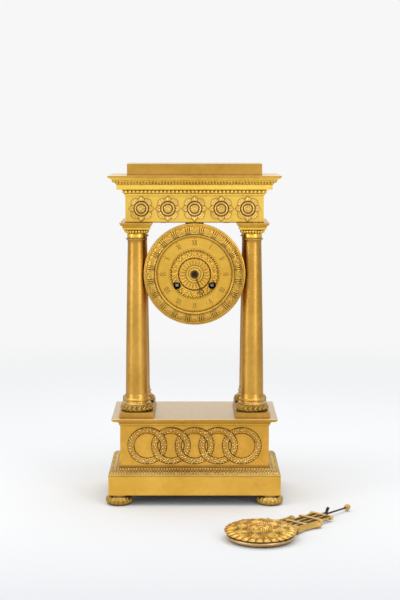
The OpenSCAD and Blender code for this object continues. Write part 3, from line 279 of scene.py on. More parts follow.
def dense(points, step, closed=False):
    """Profile points at most step apart, with the outward normal at each."""
    points = np.asarray(points, float)
    ends = np.roll(points, -1, axis=0) if closed else points[1:]
    out, normals = [], []
    for a, b in zip(points, ends):
        length = np.linalg.norm(b - a)
        if length < 1e-9:
            continue
        n = max(1, int(math.ceil(length / step)))
        out.append(a + (b - a) * np.linspace(0, 1, n, endpoint=False)[:, None])
        normals.append(np.repeat([[(b - a)[1] / length, -(b - a)[0] / length]], n, axis=0))
    if not closed:
        out.append(points[-1:])
        normals.append(normals[-1][-1:])
    return np.concatenate(out), np.concatenate(normals)


def arc(x, y, r, start, end, n):
    angles = np.radians(np.linspace(start, end, n))
    return [(x + r * math.cos(a), y + r * math.sin(a)) for a in angles]


def cyma(start, end, n=14, swing=0.11):
    """S-shaped run of a moulding from one point to another."""
    s = np.linspace(0, 1, n)
    x = start[0] + (end[0] - start[0]) * (s - SIN(TAU * s) * swing)
    y = start[1] + (end[1] - start[1]) * (s + SIN(TAU * s) * swing)
    return list(zip(x, y))


def lathe(profile, seg, carve=None, step=2.0, closed=False):
    """Turned form about Z; carve(r, z, angle) gives how far the surface is lifted."""
    p, n = dense(profile, step, closed)
    angle = around(seg)
    lift = np.zeros((len(p), seg)) if carve is None else carve(p[:, :1], p[:, 1:], angle)
    r = p[:, :1] + n[:, :1] * lift
    z = p[:, 1:] + n[:, 1:] * lift
    return polar(r, angle, z), quads(len(p), seg, closed, True)


def run(plan, profile, carve=None, step=2.0, along=12.0, counts=(1, 1), closed=True):
    """Moulding around a (w, d) plan; profile lists (outward, height), carve(out, z, phase) lifts it.
    An open profile starts and ends on the middle line of the plan."""
    w, d = plan
    p, n = dense(profile, step, closed)
    rows = []
    for side in range(4):
        half, far = (w / 2, d / 2) if side % 2 == 0 else (d / 2, w / 2)
        cols = max(2, int(math.ceil(2 * half / along / 2)) * 2)
        f = np.linspace(-1, 1, cols, endpoint=False)[:, None]
        reach = half + p[:, 0].max()
        phase = counts[side % 2] * (f * (half + p[None, :, 0]) / reach + 1) / 2
        lift = 0.0 if carve is None else carve(p[None, :, 0], p[None, :, 1], phase)
        out = p[None, :, 0] + n[None, :, 0] * lift + 0 * f
        z = p[None, :, 1] + n[None, :, 1] * lift + 0 * f
        run_x, run_y = f * (half + out), -(far + out)
        quarter = side * math.pi / 2
        x = run_x * math.cos(quarter) - run_y * math.sin(quarter)
        y = run_x * math.sin(quarter) + run_y * math.cos(quarter)
        rows.append(np.stack([x, y, z], -1))
    verts = np.concatenate(rows)
    return verts, quads(verts.shape[0], verts.shape[1], True, closed)


def disc(outline, height, rings, seg, floor=0.0, under=1.0):
    """Closed relief with a polar outline: outline(angle) and height(r, angle) in local x, y, with z up.
    Under is the share of the outline that the flat underside keeps."""
    angle = around(seg)
    edge = outline(angle)
    r = edge * np.linspace(0, 1, rings)[:, None]
    rows = polar(r, angle, height(r, angle) + 0 * r)
    low = np.full_like(edge, floor)
    verts = np.concatenate([rows, polar(under * edge, angle, low), polar(0 * edge, angle, low)])
    return verts, quads(verts.shape[0], seg, False, True)


def leaf(length, width, height, rows, cols):
    """Pointed leaf from the origin along x, crowned with a rib, closed underneath."""
    u = np.linspace(0, 1, rows)[:, None]
    v = np.linspace(-1, 1, cols)[None, :]
    half = width / 2 * SIN(math.pi * u ** 0.8) ** 0.75
    crown = SIN(math.pi * u) ** 0.5 * (1 - v * v) ** 0.8
    rib = 0.22 * np.exp(-(v / 0.28) ** 2) * SIN(math.pi * u) ** 0.5
    x, y = u * length + 0 * v, half * v
    top = np.stack([x, y, height * (0.85 * crown + rib)], -1)
    low = np.stack([x, y, -0.3 * height * crown], -1)
    faces = quads(rows, cols)
    verts = np.concatenate([top.reshape(-1, 3), low.reshape(-1, 3)])
    return verts, np.concatenate([faces, faces[:, ::-1] + rows * cols])


def knob(w, d, h, power=2.0, rows=5, seg=10):
    """Rounded bead: w by d across, h high above its seat."""
    lat = np.linspace(-0.35, math.pi / 2, rows)[:, None]
    lon = around(seg)

    def soft(value):
        return np.sign(value) * np.abs(value) ** (2 / power)

    ring = soft(COS(lat))
    verts = np.stack([w / 2 * ring * soft(COS(lon)), d / 2 * ring * soft(SIN(lon)),
                      h * soft(SIN(lat)) + 0 * lon], -1)
    base = np.stack([0 * lon, 0 * lon, 0 * lon + verts[0, 0, 2]], -1)
    verts = np.concatenate([base, verts])
    return verts, quads(rows + 1, seg, False, True)


def closed_sweep(sections):
    """Closed form through a row of sections, with both ends shut."""
    ends = [sections[i].mean(0) + 0 * sections[i] for i in (0, -1)]
    verts = np.concatenate([ends[:1], sections, ends[1:]])
    return verts, quads(len(verts), verts.shape[1], False, True)


def strip(path, wide, thick):
    """Flat bar along a path of (x, z) points."""
    path = np.asarray(path, float)
    way = np.gradient(path, axis=0)
    way = way / np.linalg.norm(way, axis=1)[:, None]
    x, z = path.T
    corners = []
    for s, t in ((1, 1), (1, -1), (-1, -1), (-1, 1)):
        corners.append([x - s * thick / 2 * way[:, 1], t * wide / 2 + 0 * x, z + s * thick / 2 * way[:, 0]])
    return closed_sweep(np.transpose(corners, (2, 0, 1)))


# Places of a form: each call gives a function that moves vertices

def turn(angle):
    c, s = math.cos(angle), math.sin(angle)
    spin = np.array([[c, s, 0], [-s, c, 0], [0, 0, 1]])
    return lambda verts: verts @ spin


def shift(x, y, z=0.0):
    return lambda verts: verts + np.array([x, y, z])


def chain(*steps):
    def place(verts):
        for step in steps:
            verts = step(verts)
        return verts
    return place


def on_front(x0, depth, z0):
    """Puts local x right, y up, z forward on an upright front plane."""
    return lambda v: np.stack([x0 + v[:, 0], -depth - v[:, 2], z0 + v[:, 1]], -1)


def at_corners(form, x, y, z):
    """The same form at the four corners of a plan, with its foot at height z."""
    whole = Shape()
    for sx in (-1, 1):
        for sy in (-1, 1):
            whole.add(form, shift(sx * x, sy * y, z))
    return whole


def at_height(form, z):
    return Shape().add(form, shift(0, 0, z))


# Heights of carved patterns

def flat(value, edge=0.3):
    """Rises from 0 at the rim of a form to 1 over its flat top; edge is the width of the rise."""
    s = np.clip(value / edge, 0, 1)
    return s * s * (3 - 2 * s)


def dip(value, width):
    """Bell curve with height 1 at 0."""
    return np.exp(-(value / width) ** 2)


def apart(phase):
    """Signed distance from the nearest whole number."""
    return phase - np.round(phase)


def leaf_row(phase, v, lobes=3.0):
    """Height from 0 to 1 of a row of leaves: phase counts leaves, v runs from root to tip."""
    u = np.abs(apart(phase)) * 2
    v = np.clip(v, 0, 1)
    half = (1 - v ** 2.4) ** 0.55 * (0.82 + 0.12 * COS(lobes * TAU * v))
    body = flat(1 - u / np.maximum(half, 0.02))
    veins = 0.35 * dip(SIN(lobes * math.pi * (v + 0.4 * u)), 0.35)
    dart = flat(1 - (1 - u) / np.maximum(0.34 * v, 0.02)) * (v > 0.3)
    return np.maximum(body * (0.9 - veins) + 0.1 * body * (1 - u), 0.6 * dart)


def beads(phase):
    """Height from 0 to 1 of a row of round beads."""
    u = apart(phase) * 2
    return np.sqrt(np.clip(1 - u * u / 0.8, 0, 1))


def highest(*heights):
    return reduce(np.maximum, heights)


def within(value, low, high):
    return (value > low) & (value < high)


def share(value, low, high):
    return np.clip((value - low) / (high - low), 0, 1)


def bulge(value, low, high):
    """Round hump from 0 at low to 1 in the middle and 0 at high."""
    middle, half = (low + high) / 2, (high - low) / 2
    return np.sqrt(np.clip(1 - ((value - middle) / half) ** 2, 0, 1))


def by_radius(r, steps, height):
    """Height out to each step's radius, with the last height beyond all of them."""
    for limit, value in reversed(steps):
        height = np.where(r <= limit, value, height)
    return height


# Places taken from the CAD nodes
block_low, block_high = span("base_block")
frieze_low, frieze_high = span("frieze_box")
bezel_low, bezel_high = span("bezel")
ring_low, ring_high = span("chapter_ring")
feet_high = span("bun_feet")[1]
plinth_high = span("column_plinths")[1]

FOOT_HALF, PLINTH_MARGIN = 18.8, 24.0
FOOT_X, FOOT_Y = feet_high[0] - FOOT_HALF, feet_high[1] - FOOT_HALF
COL_X, COL_Y = plinth_high[0] - PLINTH_MARGIN, plinth_high[1] - PLINTH_MARGIN
BLOCK_PLAN, FRIEZE_PLAN = block_high[:2] * 2, frieze_high[:2] * 2
BLOCK_FRONT, FRIEZE_FRONT = block_high[1], frieze_high[1]
DIAL_Z = (bezel_low[2] + bezel_high[2]) / 2
on_face = on_front(0.0, -ring_high[1], DIAL_Z)
on_dial = on_front(0.0, -ring_low[1], DIAL_Z)


# Feet
FOOT_LEAVES, FOOT_BAND = 18, (1.2, 11.8)


def carve_foot(r, z, angle):
    band = within(z, *FOOT_BAND) & (r > 13)
    leaves = leaf_row(angle * FOOT_LEAVES / TAU, 1 - share(z, *FOOT_BAND))
    return np.where(band, 0.9 * leaves, 0.0) - 0.7 * band


foot_profile = ([(0, 0), (12.4, 0)] + arc(12.5, 6.3, 6.3, -84, 76, 18)
                + [(13.6, 12.7), (13.6, 13.4), (14.4, 13.7), (14.4, 15), (0, 15)])
make("carved_feet", at_corners(lathe(foot_profile, 144, carve_foot, 0.6), FOOT_X, FOOT_Y, 0.0), DULL,
     replaces=["bun_feet"])


# Base moulding and cap
MOULDING_Z, CAP_Z = underside("base_moulding"), underside("base_cap")
SCALE_ROWS, SCALE_COUNTS, SCALE_TOP = 3, (62, 36), 9.0


def carve_moulding(out, z, phase):
    """Rows of small leaves, laid like scales down the slope."""
    v = share(z, 2.9, SCALE_TOP) * SCALE_ROWS
    row = np.minimum(np.floor(v), SCALE_ROWS - 1)
    scales = leaf_row(phase + 0.5 * (row % 2), 1 - (v - row), 1.0)
    return np.where(within(z, 2.8, SCALE_TOP) & (out > 2), 1.0 * scales - 0.5, 0.0)


list_profile = [(15.7, 0), (16, 0.3), (16, 1.9), (15.6, 2.3), (12, 2.3), (12, 0)]
moulding_profile = ([(14.9, 2.2)] + cyma((14.6, 2.9), (2.2, 9.2), 14, 0.04)
                    + [(1.0, 9.3), (0.8, 9.6), (0.8, 11.4), (-4, 11.4), (-4, 2.2)])
fillet_profile = [(-1, 9.2), (1.4, 9.2), (1.7, 9.5), (1.7, 11.2), (1.4, 11.5), (-1, 11.5)]
scales = run(BLOCK_PLAN, moulding_profile, carve_moulding, 0.45, 0.55, SCALE_COUNTS)
make("carved_base_moulding", at_height(scales, MOULDING_Z), MOULDING, replaces=["base_moulding"])
make("moulding_list", at_height(run(BLOCK_PLAN, list_profile), MOULDING_Z), DULL)
make("moulding_fillet", at_height(run(BLOCK_PLAN, fillet_profile), MOULDING_Z), BROWN)

cap_profile = ([(-BLOCK_FRONT, 0), (1.3, 0), (1.6, 0.3), (1.6, 2.5), (1.3, 2.8)]
               + cyma((2.2, 3.1), (10.6, 8.6))
               + [(11.2, 8.8), (11.5, 9.1), (11.5, 10.1), (11.1, 10.5), (-BLOCK_FRONT, 10.5)])
cap_fillet = [(10.6, 8.9), (11.5, 8.9), (11.7, 9.1), (11.7, 10.1), (11.5, 10.3), (10.6, 10.3)]
make("moulded_base_cap", at_height(run(BLOCK_PLAN, cap_profile, step=3.0, closed=False), CAP_Z), GILT,
     replaces=["base_cap"])
make("cap_fillet", at_height(run(BLOCK_PLAN, cap_fillet), CAP_Z), DULL)


# Wreaths on the base block
WREATH_COUNT, WREATH_R, WREATH_BAND, WREATH_PITCH, WREATH_WIDE = 5, 25.7, 7.8, 33.2, 1.055
WREATH_MID = WREATH_R - WREATH_BAND / 2
WREATH_Z = (block_low[2] + block_high[2]) / 2
CROSS = math.acos(WREATH_PITCH / 2 / (WREATH_WIDE * WREATH_MID))
OVER, UNDER, LOWEST, CROSS_LENGTH = 1.3, -0.8, -0.6, 8.0
LEAVES, BERRIES = 42, 30
LEAF_ROWS = ((-2.4, -0.25), (0.0, 0.0), (2.4, 0.25))
BED_FOOT = -0.4


def wreath_level(index, angle):
    """Rise of a wreath band where it passes over its neighbour, and dip where it passes under."""
    level = 0.0 * angle
    for side, centre in ((1, 0.0), (-1, math.pi)):
        if not 0 <= index + side < WREATH_COUNT:
            continue
        for up in (1, -1):
            meet = centre + side * up * CROSS
            gap = (angle - meet + math.pi) % TAU - math.pi
            level = level + (OVER if side * up > 0 else UNDER) * dip(gap * WREATH_MID, CROSS_LENGTH)
    return np.maximum(level, LOWEST)


def on_wreath(index, angle, offset, rise):
    """Moves a form to an angle on a wreath, offset from the middle of its band."""
    radius = WREATH_MID + offset
    z = rise + float(wreath_level(index, angle))
    return shift(radius * math.cos(angle), radius * math.sin(angle), z)


def sweep_ring(index, section):
    """Closed ring of a wreath with the given section of (radial, height) points."""
    cols = 200
    angle = around(cols).T
    section = np.asarray(section, float)
    r = WREATH_MID + section[None, :, 0]
    z = np.where(section[None, :, 1] > 0, section[None, :, 1] + wreath_level(index, angle), BED_FOOT)
    return polar(r, angle, z + 0 * r), quads(cols, len(section), True, True)


def add_wreath(index, place):
    """Three rows of small leaves that climb both sides of a wreath, and berries strewn over them."""
    for offset, splay in LEAF_ROWS:
        for i in range(LEAVES):
            a = (i + 0.5 * (offset == 0)) * TAU / LEAVES
            rising = 1 if math.cos(a) > 0 else -1
            heading = a + rising * (math.pi / 2 - splay) + chance.uniform(-0.2, 0.2)
            wreaths.add(leaf(3.7 * chance.uniform(0.88, 1.12), 2.2, 1.2, 5, 5),
                        chain(turn(heading), on_wreath(index, a, offset, 1.0), place))
    for i in range(BERRIES):
        a = (i + 0.5) * TAU / BERRIES
        offset = chance.uniform(-2.2, 2.2)
        wreath_berries.add(knob(2.3, 2.3, 1.5), chain(on_wreath(index, a, offset, 1.3), place))


chance = np.random.default_rng(12)
bed_section = [(-3.7, BED_FOOT), (-3.7, 0.7), (-2.8, 1.1), (0.0, 1.3), (2.8, 1.1), (3.7, 0.7),
               (3.7, BED_FOOT)]
# Thin dark rings along both edges of each band: painted shadow of the raised band
outer_shadow_line = [(3.5, BED_FOOT), (3.5, 0.9), (4.3, 0.8), (4.6, 0.4), (4.6, BED_FOOT)]
inner_shadow_line = [(-r, z) for r, z in outer_shadow_line]
wreaths, wreath_berries, wreath_beds, wreath_shadow_lines = (Shape() for i in range(4))
for i in range(WREATH_COUNT):
    x = (i - 2) * WREATH_PITCH
    place = chain(lambda v: v * (WREATH_WIDE, 1, 1), on_front(x, BLOCK_FRONT, WREATH_Z))
    add_wreath(i, place)
    wreath_beds.add(sweep_ring(i, bed_section), place)
    wreath_shadow_lines.add(sweep_ring(i, outer_shadow_line), place)
    wreath_shadow_lines.add(sweep_ring(i, inner_shadow_line), place)
make("laurel_wreaths", wreaths, LAUREL, replaces=["wreath_mount"])
make("wreath_berries", wreath_berries, BERRY)
# The bed's darker colour is painted shade between the leaves
make("wreath_beds", wreath_beds, BED_SHADE)
make("wreath_shadow_lines", wreath_shadow_lines, SHADE_LINES)


# Columns
TORUS_LEAVES, TORUS_BAND = 20, (0.8, 8.8)
EGGS, EGG_BAND = 24, (9.7, 14.8)
ROUND = 96


def carve_torus(r, z, angle):
    v = share(z, *TORUS_BAND)
    leaves = leaf_row(angle * TORUS_LEAVES / TAU + 0.5 * SIN(v * math.pi), v, 4.0)
    return np.where(within(z, *TORUS_BAND) & (r > 18.6), 1.5 * leaves - 0.8, 0.0)


def carve_capital(r, z, angle):
    u = np.abs(apart(angle * EGGS / TAU)) * 2
    v = share(z, *EGG_BAND)
    egg = np.sqrt(np.clip(1 - (u / (0.6 + 0.25 * v)) ** 2, 0, 1))
    dart = np.clip(1 - (1 - u) / 0.12, 0, 1) * (1 - v)
    return np.where(within(z, *EGG_BAND) & (r > 14.4), 1.4 * np.maximum(egg, 0.7 * dart) - 1.0, 0)


torus_profile = [(0, 0), (18.4, 0)] + arc(18.45, 4.75, 4.7, -88, 84, 18) + [(18.4, 9.6), (0, 9.6)]
rings_profile = ([(0, 9.2), (19.0, 9.2), (19.4, 9.6), (19.4, 11.0), (18.9, 11.5), (17.7, 12.0),
                  (17.0, 12.9), (16.8, 13.9), (17.0, 14.6)] + arc(16.7, 16.1, 1.6, -70, 70, 7)
                 + [(16.7, 17.8), (16.6, 18.6), (16.3, 20), (0, 20)])
shaft_profile = [(0, 0), (16.5, 0), (16.5, 1.6), (16.2, 2.2), (16.0, 3.6), (15.99, 6)]
for i in range(1, 20):
    s = i / 20
    shaft_profile.append((16.0 - 3.4 * s + 0.25 * math.sin(math.pi * s), 6 + 212 * s))
shaft_profile += [(12.6, 218), (12.7, 220.4), (13.1, 221.4), (13.1, 222), (0, 222)]
capital_profile = ([(0, 2.2), (12.6, 2.2), (12.6, 8.6), (13.9, 8.9), (14.5, 9.2), (14.4, 9.5)]
                   + arc(14.4, 12.25, 2.8, -72, 72, 16) + [(14.6, 15), (0, 15)])
astragal_profile = [(0, 0), (13.5, 0)] + arc(13.8, 1.15, 1.15, -80, 80, 9) + [(13.0, 2.5), (0, 2.5)]
neck_profile = [(0, 2.3), (12.9, 2.3), (13.2, 3.0), (13.25, 5.6), (13.2, 8.0), (12.9, 8.7), (0, 8.7)]


def on_columns(form, node):
    """The same turned form on the four columns, with its foot where the CAD node has it."""
    return at_corners(form, COL_X, COL_Y, underside(node))


make("carved_column_bases", on_columns(lathe(torus_profile, 160, carve_torus, 0.6), "column_bases"), DULL,
     replaces=["column_bases"])
make("turned_base_rings", on_columns(lathe(rings_profile, ROUND), "column_bases"), GILT)
make("turned_necks", on_columns(lathe(neck_profile, ROUND), "column_capitals"), CORNICE)
make("turned_astragals", on_columns(lathe(astragal_profile, ROUND), "column_capitals"), DULL)
make("turned_column_shafts", on_columns(lathe(shaft_profile, ROUND, None, 6.0), "column_shafts"), BURNISHED,
     replaces=["column_shafts"])
make("carved_capitals", on_columns(lathe(capital_profile, 192, carve_capital, 0.45), "column_capitals"),
     CORNICE, replaces=["column_capitals"])

ABACUS_W = 36.0
ABACUS_PLAN = (2 * COL_Y + ABACUS_W, ABACUS_W)


def on_abaci(form):
    """The same form over both pairs of columns."""
    both = Shape()
    for sx in (-1, 1):
        both.add(form, chain(turn(math.pi / 2), shift(sx * COL_X, 0, underside("abacus_blocks"))))
    return both


abacus_profile = ([(-ABACUS_W / 2, 0), (0.2, 0), (0.5, 0.3), (0.5, 2.4), (0.2, 2.7)]
                  + cyma((0.9, 2.9), (4.3, 7.9), 10)
                  + [(4.8, 8.1), (5.0, 8.4), (5.0, 9.2), (4.7, 9.5), (-ABACUS_W / 2, 9.5)])
fascia_profile = [(-0.5, 0), (0.5, 0), (0.65, 0.2), (0.65, 2.4), (0.5, 2.6), (-0.5, 2.6)]
make("moulded_abaci", on_abaci(run(ABACUS_PLAN, abacus_profile, along=8.0, closed=False)), GILT,
     replaces=["abacus_blocks"])
make("abacus_fascia", on_abaci(run(ABACUS_PLAN, fascia_profile)), CORNICE)


# Frieze rosettes
ROSETTE_Z = frieze_low[2] + (frieze_high[2] - frieze_low[2]) * 0.52
ROSETTE_PITCH, PETAL_TIP = 37.2, 17.8


def off_axis(angle):
    """Angle from the nearest of the four pointed petals, from 0 to 45 degrees."""
    return np.abs((angle + TAU / 8) % (TAU / 4) - TAU / 8)


def rosette_outline(angle):
    d = off_axis(angle)
    lobes = 0.5 * COS(14 * d)
    broad = np.minimum(13.6 / COS(d), 17.3) + lobes
    pointed = PETAL_TIP / (SIN(d) + COS(d))
    return np.maximum(broad, pointed)


def rosette_height(r, angle):
    """Relief of a rosette: boss, ring, and four pointed petals over four broad ones."""
    d = off_axis(angle)
    x, y = r * COS(d), r * SIN(d)
    inside = np.minimum(PETAL_TIP - x, 3.2 + 0.35 * (x - 9.0)) - y
    pointed = 1.1 + 0.8 * flat(inside, 1.0) - 0.3 * dip(y, 0.5)
    away = np.abs(x - y) / math.sqrt(2)
    broad = 0.9 + 1.1 * flat(-inside, 0.9) - 0.45 * dip(away, 0.5)
    broad = broad - 0.35 * dip(away - 3.0, 0.5) * share(r, 11, 14)
    petal = 0.6 + (np.where(inside > 0, pointed, broad) - 0.6) * share(r, 9.8, 11.6)
    ring = 1.5 + 1.5 * bulge(r, 6.9, 9.7) ** 0.6
    boss = 2.2 + 0.9 * flat(5.6 - r, 1.5) - 0.5 * dip(r - 2.2, 0.45)
    boss = boss - 0.4 * dip(SIN(4 * angle), 0.3) * within(r, 2.4, 5.0)
    return by_radius(r, [(5.7, boss), (6.9, 0.5), (9.5, ring), (9.9, 0.5)], petal)


rosettes, rosette_shadows = Shape(), Shape()
for i in range(-2, 3):
    place = on_front(i * ROSETTE_PITCH, FRIEZE_FRONT, ROSETTE_Z)
    rosettes.add(disc(rosette_outline, rosette_height, 46, 192), place)
    # Thin dark disc just outside each rosette: painted shadow around its outline
    rosette_shadows.add(disc(lambda angle: rosette_outline(angle) + 0.4, lambda r, angle: 0.35 + 0 * r,
                          3, 192, -0.3), place)
make("carved_rosettes", rosettes, ROSETTE, replaces=["frieze_rosettes"])
make("rosette_shadows", rosette_shadows, BROWN)
# Dark strip along the foot of the frieze: painted shade and dark reflection of its lower edge
frieze_shadow_profile = [(-1.0, -0.05), (0.1, -0.05), (0.2, 0.1), (0.2, 1.0), (0.0, 1.15), (-1.0, 1.15)]
make("frieze_shadow_line", at_height(run(FRIEZE_PLAN, frieze_shadow_profile), frieze_low[2]), BROWN)


# Dentil course
DENTIL_OUT, DENTIL_PITCH, DENTIL_UP = 1.8, 5.5, 6.0
COURSE_Z = underside("bead_course")
course_profile = [(0.7, 0), (1.0, 0.2), (2.0, 2.9), (1.6, 3.3), (1.9, 3.6), (1.9, 8.4), (4.5, 8.6),
                  (4.5, 9.0), (-4, 9.0), (-4, 0)]
course = at_height(run(FRIEZE_PLAN, course_profile, along=6.0), COURSE_Z)
for side in range(4):
    half, far = frieze_high[[0, 1]] if side % 2 == 0 else frieze_high[[1, 0]]
    length = 2 * (half + DENTIL_OUT)
    count = int(round(length / DENTIL_PITCH))
    for i in range(count):
        x = -length / 2 + (i + 0.5) * length / count
        course.add(knob(3.6, 5.2, 2.8, 4.0, 7, 20),
                   chain(on_front(x, far + DENTIL_OUT, COURSE_Z + DENTIL_UP), turn(side * math.pi / 2)))
make("dentil_course", course, CORNICE, replaces=["bead_course"])


# Cornice
CORNICE_Z = underside("cornice")
CORNICE_COUNTS, CORNICE_BAND = (56, 32), (7.2, 12.6)


def carve_cornice(out, z, phase):
    """Row of hanging leaves on the lower half of the cymatium."""
    leaves = leaf_row(phase, 1 - share(z, *CORNICE_BAND), 2.0)
    return np.where(within(z, *CORNICE_BAND) & (out > 11.6), 1.1 * leaves - 0.6, 0.0)


cornice_profile = ([(-FRIEZE_FRONT, 0), (11.5, 0), (11.8, 0.3), (11.8, 6.4), (11.5, 6.8), (11.8, 7.1)]
                   + cyma((12.2, 7.3), (17.4, 12.6), 10) + [(17.6, 12.9), (17.6, 13.2), (18.4, 13.4)]
                   + cyma((18.6, 13.5), (22.7, 17.0), 8)
                   + [(23.3, 17.3), (23.6, 17.6), (23.6, 18.9), (23.2, 19.3), (-FRIEZE_FRONT, 19.3)])
top_fillet = [(22.6, 17.6), (23.6, 17.6), (23.8, 17.8), (23.8, 19.0), (23.6, 19.2), (22.6, 19.2)]
cymatium = run(FRIEZE_PLAN, cornice_profile, carve_cornice, 0.5, 0.42, CORNICE_COUNTS, False)
make("carved_cornice", at_height(cymatium, CORNICE_Z), CORNICE, replaces=["cornice"])
make("cornice_fillet", at_height(run(FRIEZE_PLAN, top_fillet), CORNICE_Z), BROWN)


# Bezel
BAND_IN, BAND_MID, BAND_OUT = 55.9, 62, 68.9
GROUPS = 20
FLOWER_SIDE, FLOWER_UP = 9.74, 0.52
BEZEL_R = bezel_high[0]
LIP = 52.9


def carve_bezel(r, z, angle):
    """Groups of four fingers with a flower between them, a beaded hem inside and a plain rim outside."""
    wide = apart(angle * GROUPS / TAU + 0.5) * TAU * BAND_MID / GROUPS
    v = share(r, BAND_IN, BAND_OUT)
    fan = 0 * wide * v
    for k in (-1.5, -0.5, 0.5, 1.5):
        centre = k * (2.2 + 1.0 * v ** 1.2)
        reach = 0.97 - 0.05 * abs(k)
        finger = flat(1 - np.abs(wide - centre) / 1.15, 0.35) * flat(v - 0.10, 0.05) * flat(reach - v, 0.06)
        fan = np.maximum(fan, finger)
    side, rise = np.abs(wide) - FLOWER_SIDE, (v - FLOWER_UP) * 12.5
    away = np.hypot(side, rise)
    spin = np.arctan2(rise, side)
    flower = flat(1 - away / (3.4 + 0.5 * COS(6 * spin)), 0.25) * (1 - 0.6 * dip(away - 1.5, 0.35))
    hem = flat(0.085 - np.abs(v - 0.04), 0.04) * (1 - 0.7 * dip(SIN(75 * angle), 0.3))
    rim = flat(0.06 - np.abs(v - 0.98), 0.03)
    relief = highest(fan, flower, hem, rim)
    return np.where(within(r, BAND_IN, BAND_OUT) & (z > 2.0), 1.0 * relief - 0.9, 0.0)


bezel_profile = [(60.1, -5.0), (70.3, -5.0), (BEZEL_R, -4.0), (BEZEL_R, 0.3), (70.9, 0.9), (69.6, 1.3),
                 (69.2, 1.8), (68.8, 2.6), (66.4, 5.0), (63.4, 6.9), (61.0, 7.6), (59.2, 7.9), (57.4, 7.5),
                 (56.0, 6.6), (55.8, 6.9), (55.4, 7.5), (54.6, 7.6), (53.7, 7.3), (53.3, 6.9), (LIP, 6.2),
                 (LIP, 0.0), (60.1, 0.0)]
make("carved_bezel", Shape().add(lathe(bezel_profile, 960, carve_bezel, 0.5, True), on_face), BEZEL,
     replaces=["bezel"])


# Chapter ring and numerals
NUMERAL_H, NUMERAL_R, DOT_R = 7.6, 40.4, 50.3
THICK, THIN, INK_FOOT, INK_TOP = 0.62, 0.36, -0.05, 0.1
STROKES = {"I": [(0.0, 0.0)], "V": [(-1.5, 0.0), (1.5, 0.0)], "X": [(-1.5, 1.5), (1.5, -1.5)]}
ADVANCE = {"I": 1.7, "V": 3.6, "X": 3.7}
HOURS = ["XII", "I", "II", "III", "IIII", "V", "VI", "VII", "VIII", "IX", "X", "XI"]

ring_profile = [(34.5, 0), (52.8, 0), (52.8, 1.5), (52.35, 1.5), (52.25, 1.25), (51.95, 1.25), (51.85, 1.5),
                (36.2, 1.5), (36.1, 1.3), (35.85, 1.3), (35.75, 1.5), (34.5, 1.5)]
make("engraved_chapter_ring", Shape().add(lathe(ring_profile, 240, None, 4.0, True), on_face), DIAL,
     replaces=["chapter_ring"])


def bar(width, length):
    """Flat stroke with slightly flared ends, from the origin along y."""
    half, serif = width / 2, 0.5
    end = half + width * 0.35
    outline = [(-end, 0), (end, 0), (half, serif), (half, length - serif), (end, length), (-end, length),
               (-half, length - serif), (-half, serif)]
    n = len(outline)
    verts = [(x, y, z) for z in (INK_FOOT, INK_TOP) for x, y in outline]
    sides = [[i, (i + 1) % n, n + (i + 1) % n, n + i] for i in range(n)]
    caps = [list(range(n))[::-1], list(range(n, 2 * n))]
    return verts, [sides, caps]


def add_numeral(shape, word, angle):
    x = -sum(ADVANCE[c] for c in word) / 2
    for c in word:
        middle = x + ADVANCE[c] / 2
        for top, foot in STROKES[c]:
            lean = math.atan2(top - foot, NUMERAL_H)
            heavy = c == "I" or top < foot or (c == "V" and top < 0)
            shape.add(bar(THICK if heavy else THIN, NUMERAL_H / math.cos(lean)),
                      chain(turn(-lean), shift(middle + foot, NUMERAL_R), turn(-angle), on_dial))
        x += ADVANCE[c]


hours = Shape()
dot_profile = [(0, INK_FOOT), (THICK, INK_FOOT), (THICK, INK_TOP), (0, INK_TOP)]
for i, word in enumerate(HOURS):
    angle = i * TAU / len(HOURS)
    add_numeral(hours, word, angle)
    hours.add(lathe(dot_profile, 12), chain(shift(0, DOT_R), turn(-angle), on_dial))
make("hour_numerals", hours, INK)


# Dial centre
GADROONS, FLOWERS, ROPE_BEADS, FLOWER_R = 24, 12, 60, 28.2
CENTRE_IN, CENTRE_OUT, CENTRE_SEG = 5.0, 34.35, 528
HOLE_X, HOLE_DROP, HOLE_R = 24.5, 15.8, 4.5


def centre_height(r, angle):
    """Relief of the dial centre from its boss out to the rope edge."""
    phase = angle / TAU
    plain = 1.6 - 0.25 * share(r, 5, 8.6)
    collar = 1.6 + 0.7 * bulge(r, 8.9, 12.2) ** 0.5
    u = np.abs(apart(phase * GADROONS)) * 2
    v = share(r, 12.6, 21.2)
    tip = np.sqrt(np.clip(1 - share(v, 0.84, 1.0) ** 2, 0, 1))
    gadroon = 0.8 + 1.2 * flat(1 - u / np.maximum(0.84 * tip, 0.05), 0.4) * (0.62 + 0.38 * v)
    groove = 0.3 + 1.1 * bulge(r, 23.2, 24.5) ** 0.5
    sector = phase * FLOWERS
    side = apart(sector) * TAU / FLOWERS * r
    away = np.hypot(side, r - FLOWER_R)
    spin = np.arctan2(r - FLOWER_R, side)
    hoop = dip(away - 4.4, 0.5)
    bloom = dip(away - 2.4 - 0.4 * COS(6 * spin), 0.45)
    beside = apart(sector + 0.5) * TAU / FLOWERS * r
    w = share(r, 24.6, 32.0)
    blade = dip(np.abs(beside) - 1.6 * SIN(math.pi * w), 0.4) * (away > 4.4)
    band = 1.7 - 0.9 * highest(hoop, 0.8 * bloom, 0.9 * blade)
    rope = 0.6 + 1.5 * beads(phase * ROPE_BEADS + (r - 33) * 0.3) * flat(1 - np.abs(r - 33.4) / 1.0, 0.5)
    steps = [(8.7, plain), (8.95, 0.8), (12.15, collar), (12.6, 0.75), (21.6, gadroon), (24.6, groove),
             (32.2, band)]
    return by_radius(r, steps, rope)


def at_holes(form):
    """The same form at both winding holes."""
    both = Shape()
    for sx in (-1, 1):
        both.add(form, chain(shift(sx * HOLE_X, -HOLE_DROP), on_face))
    return both


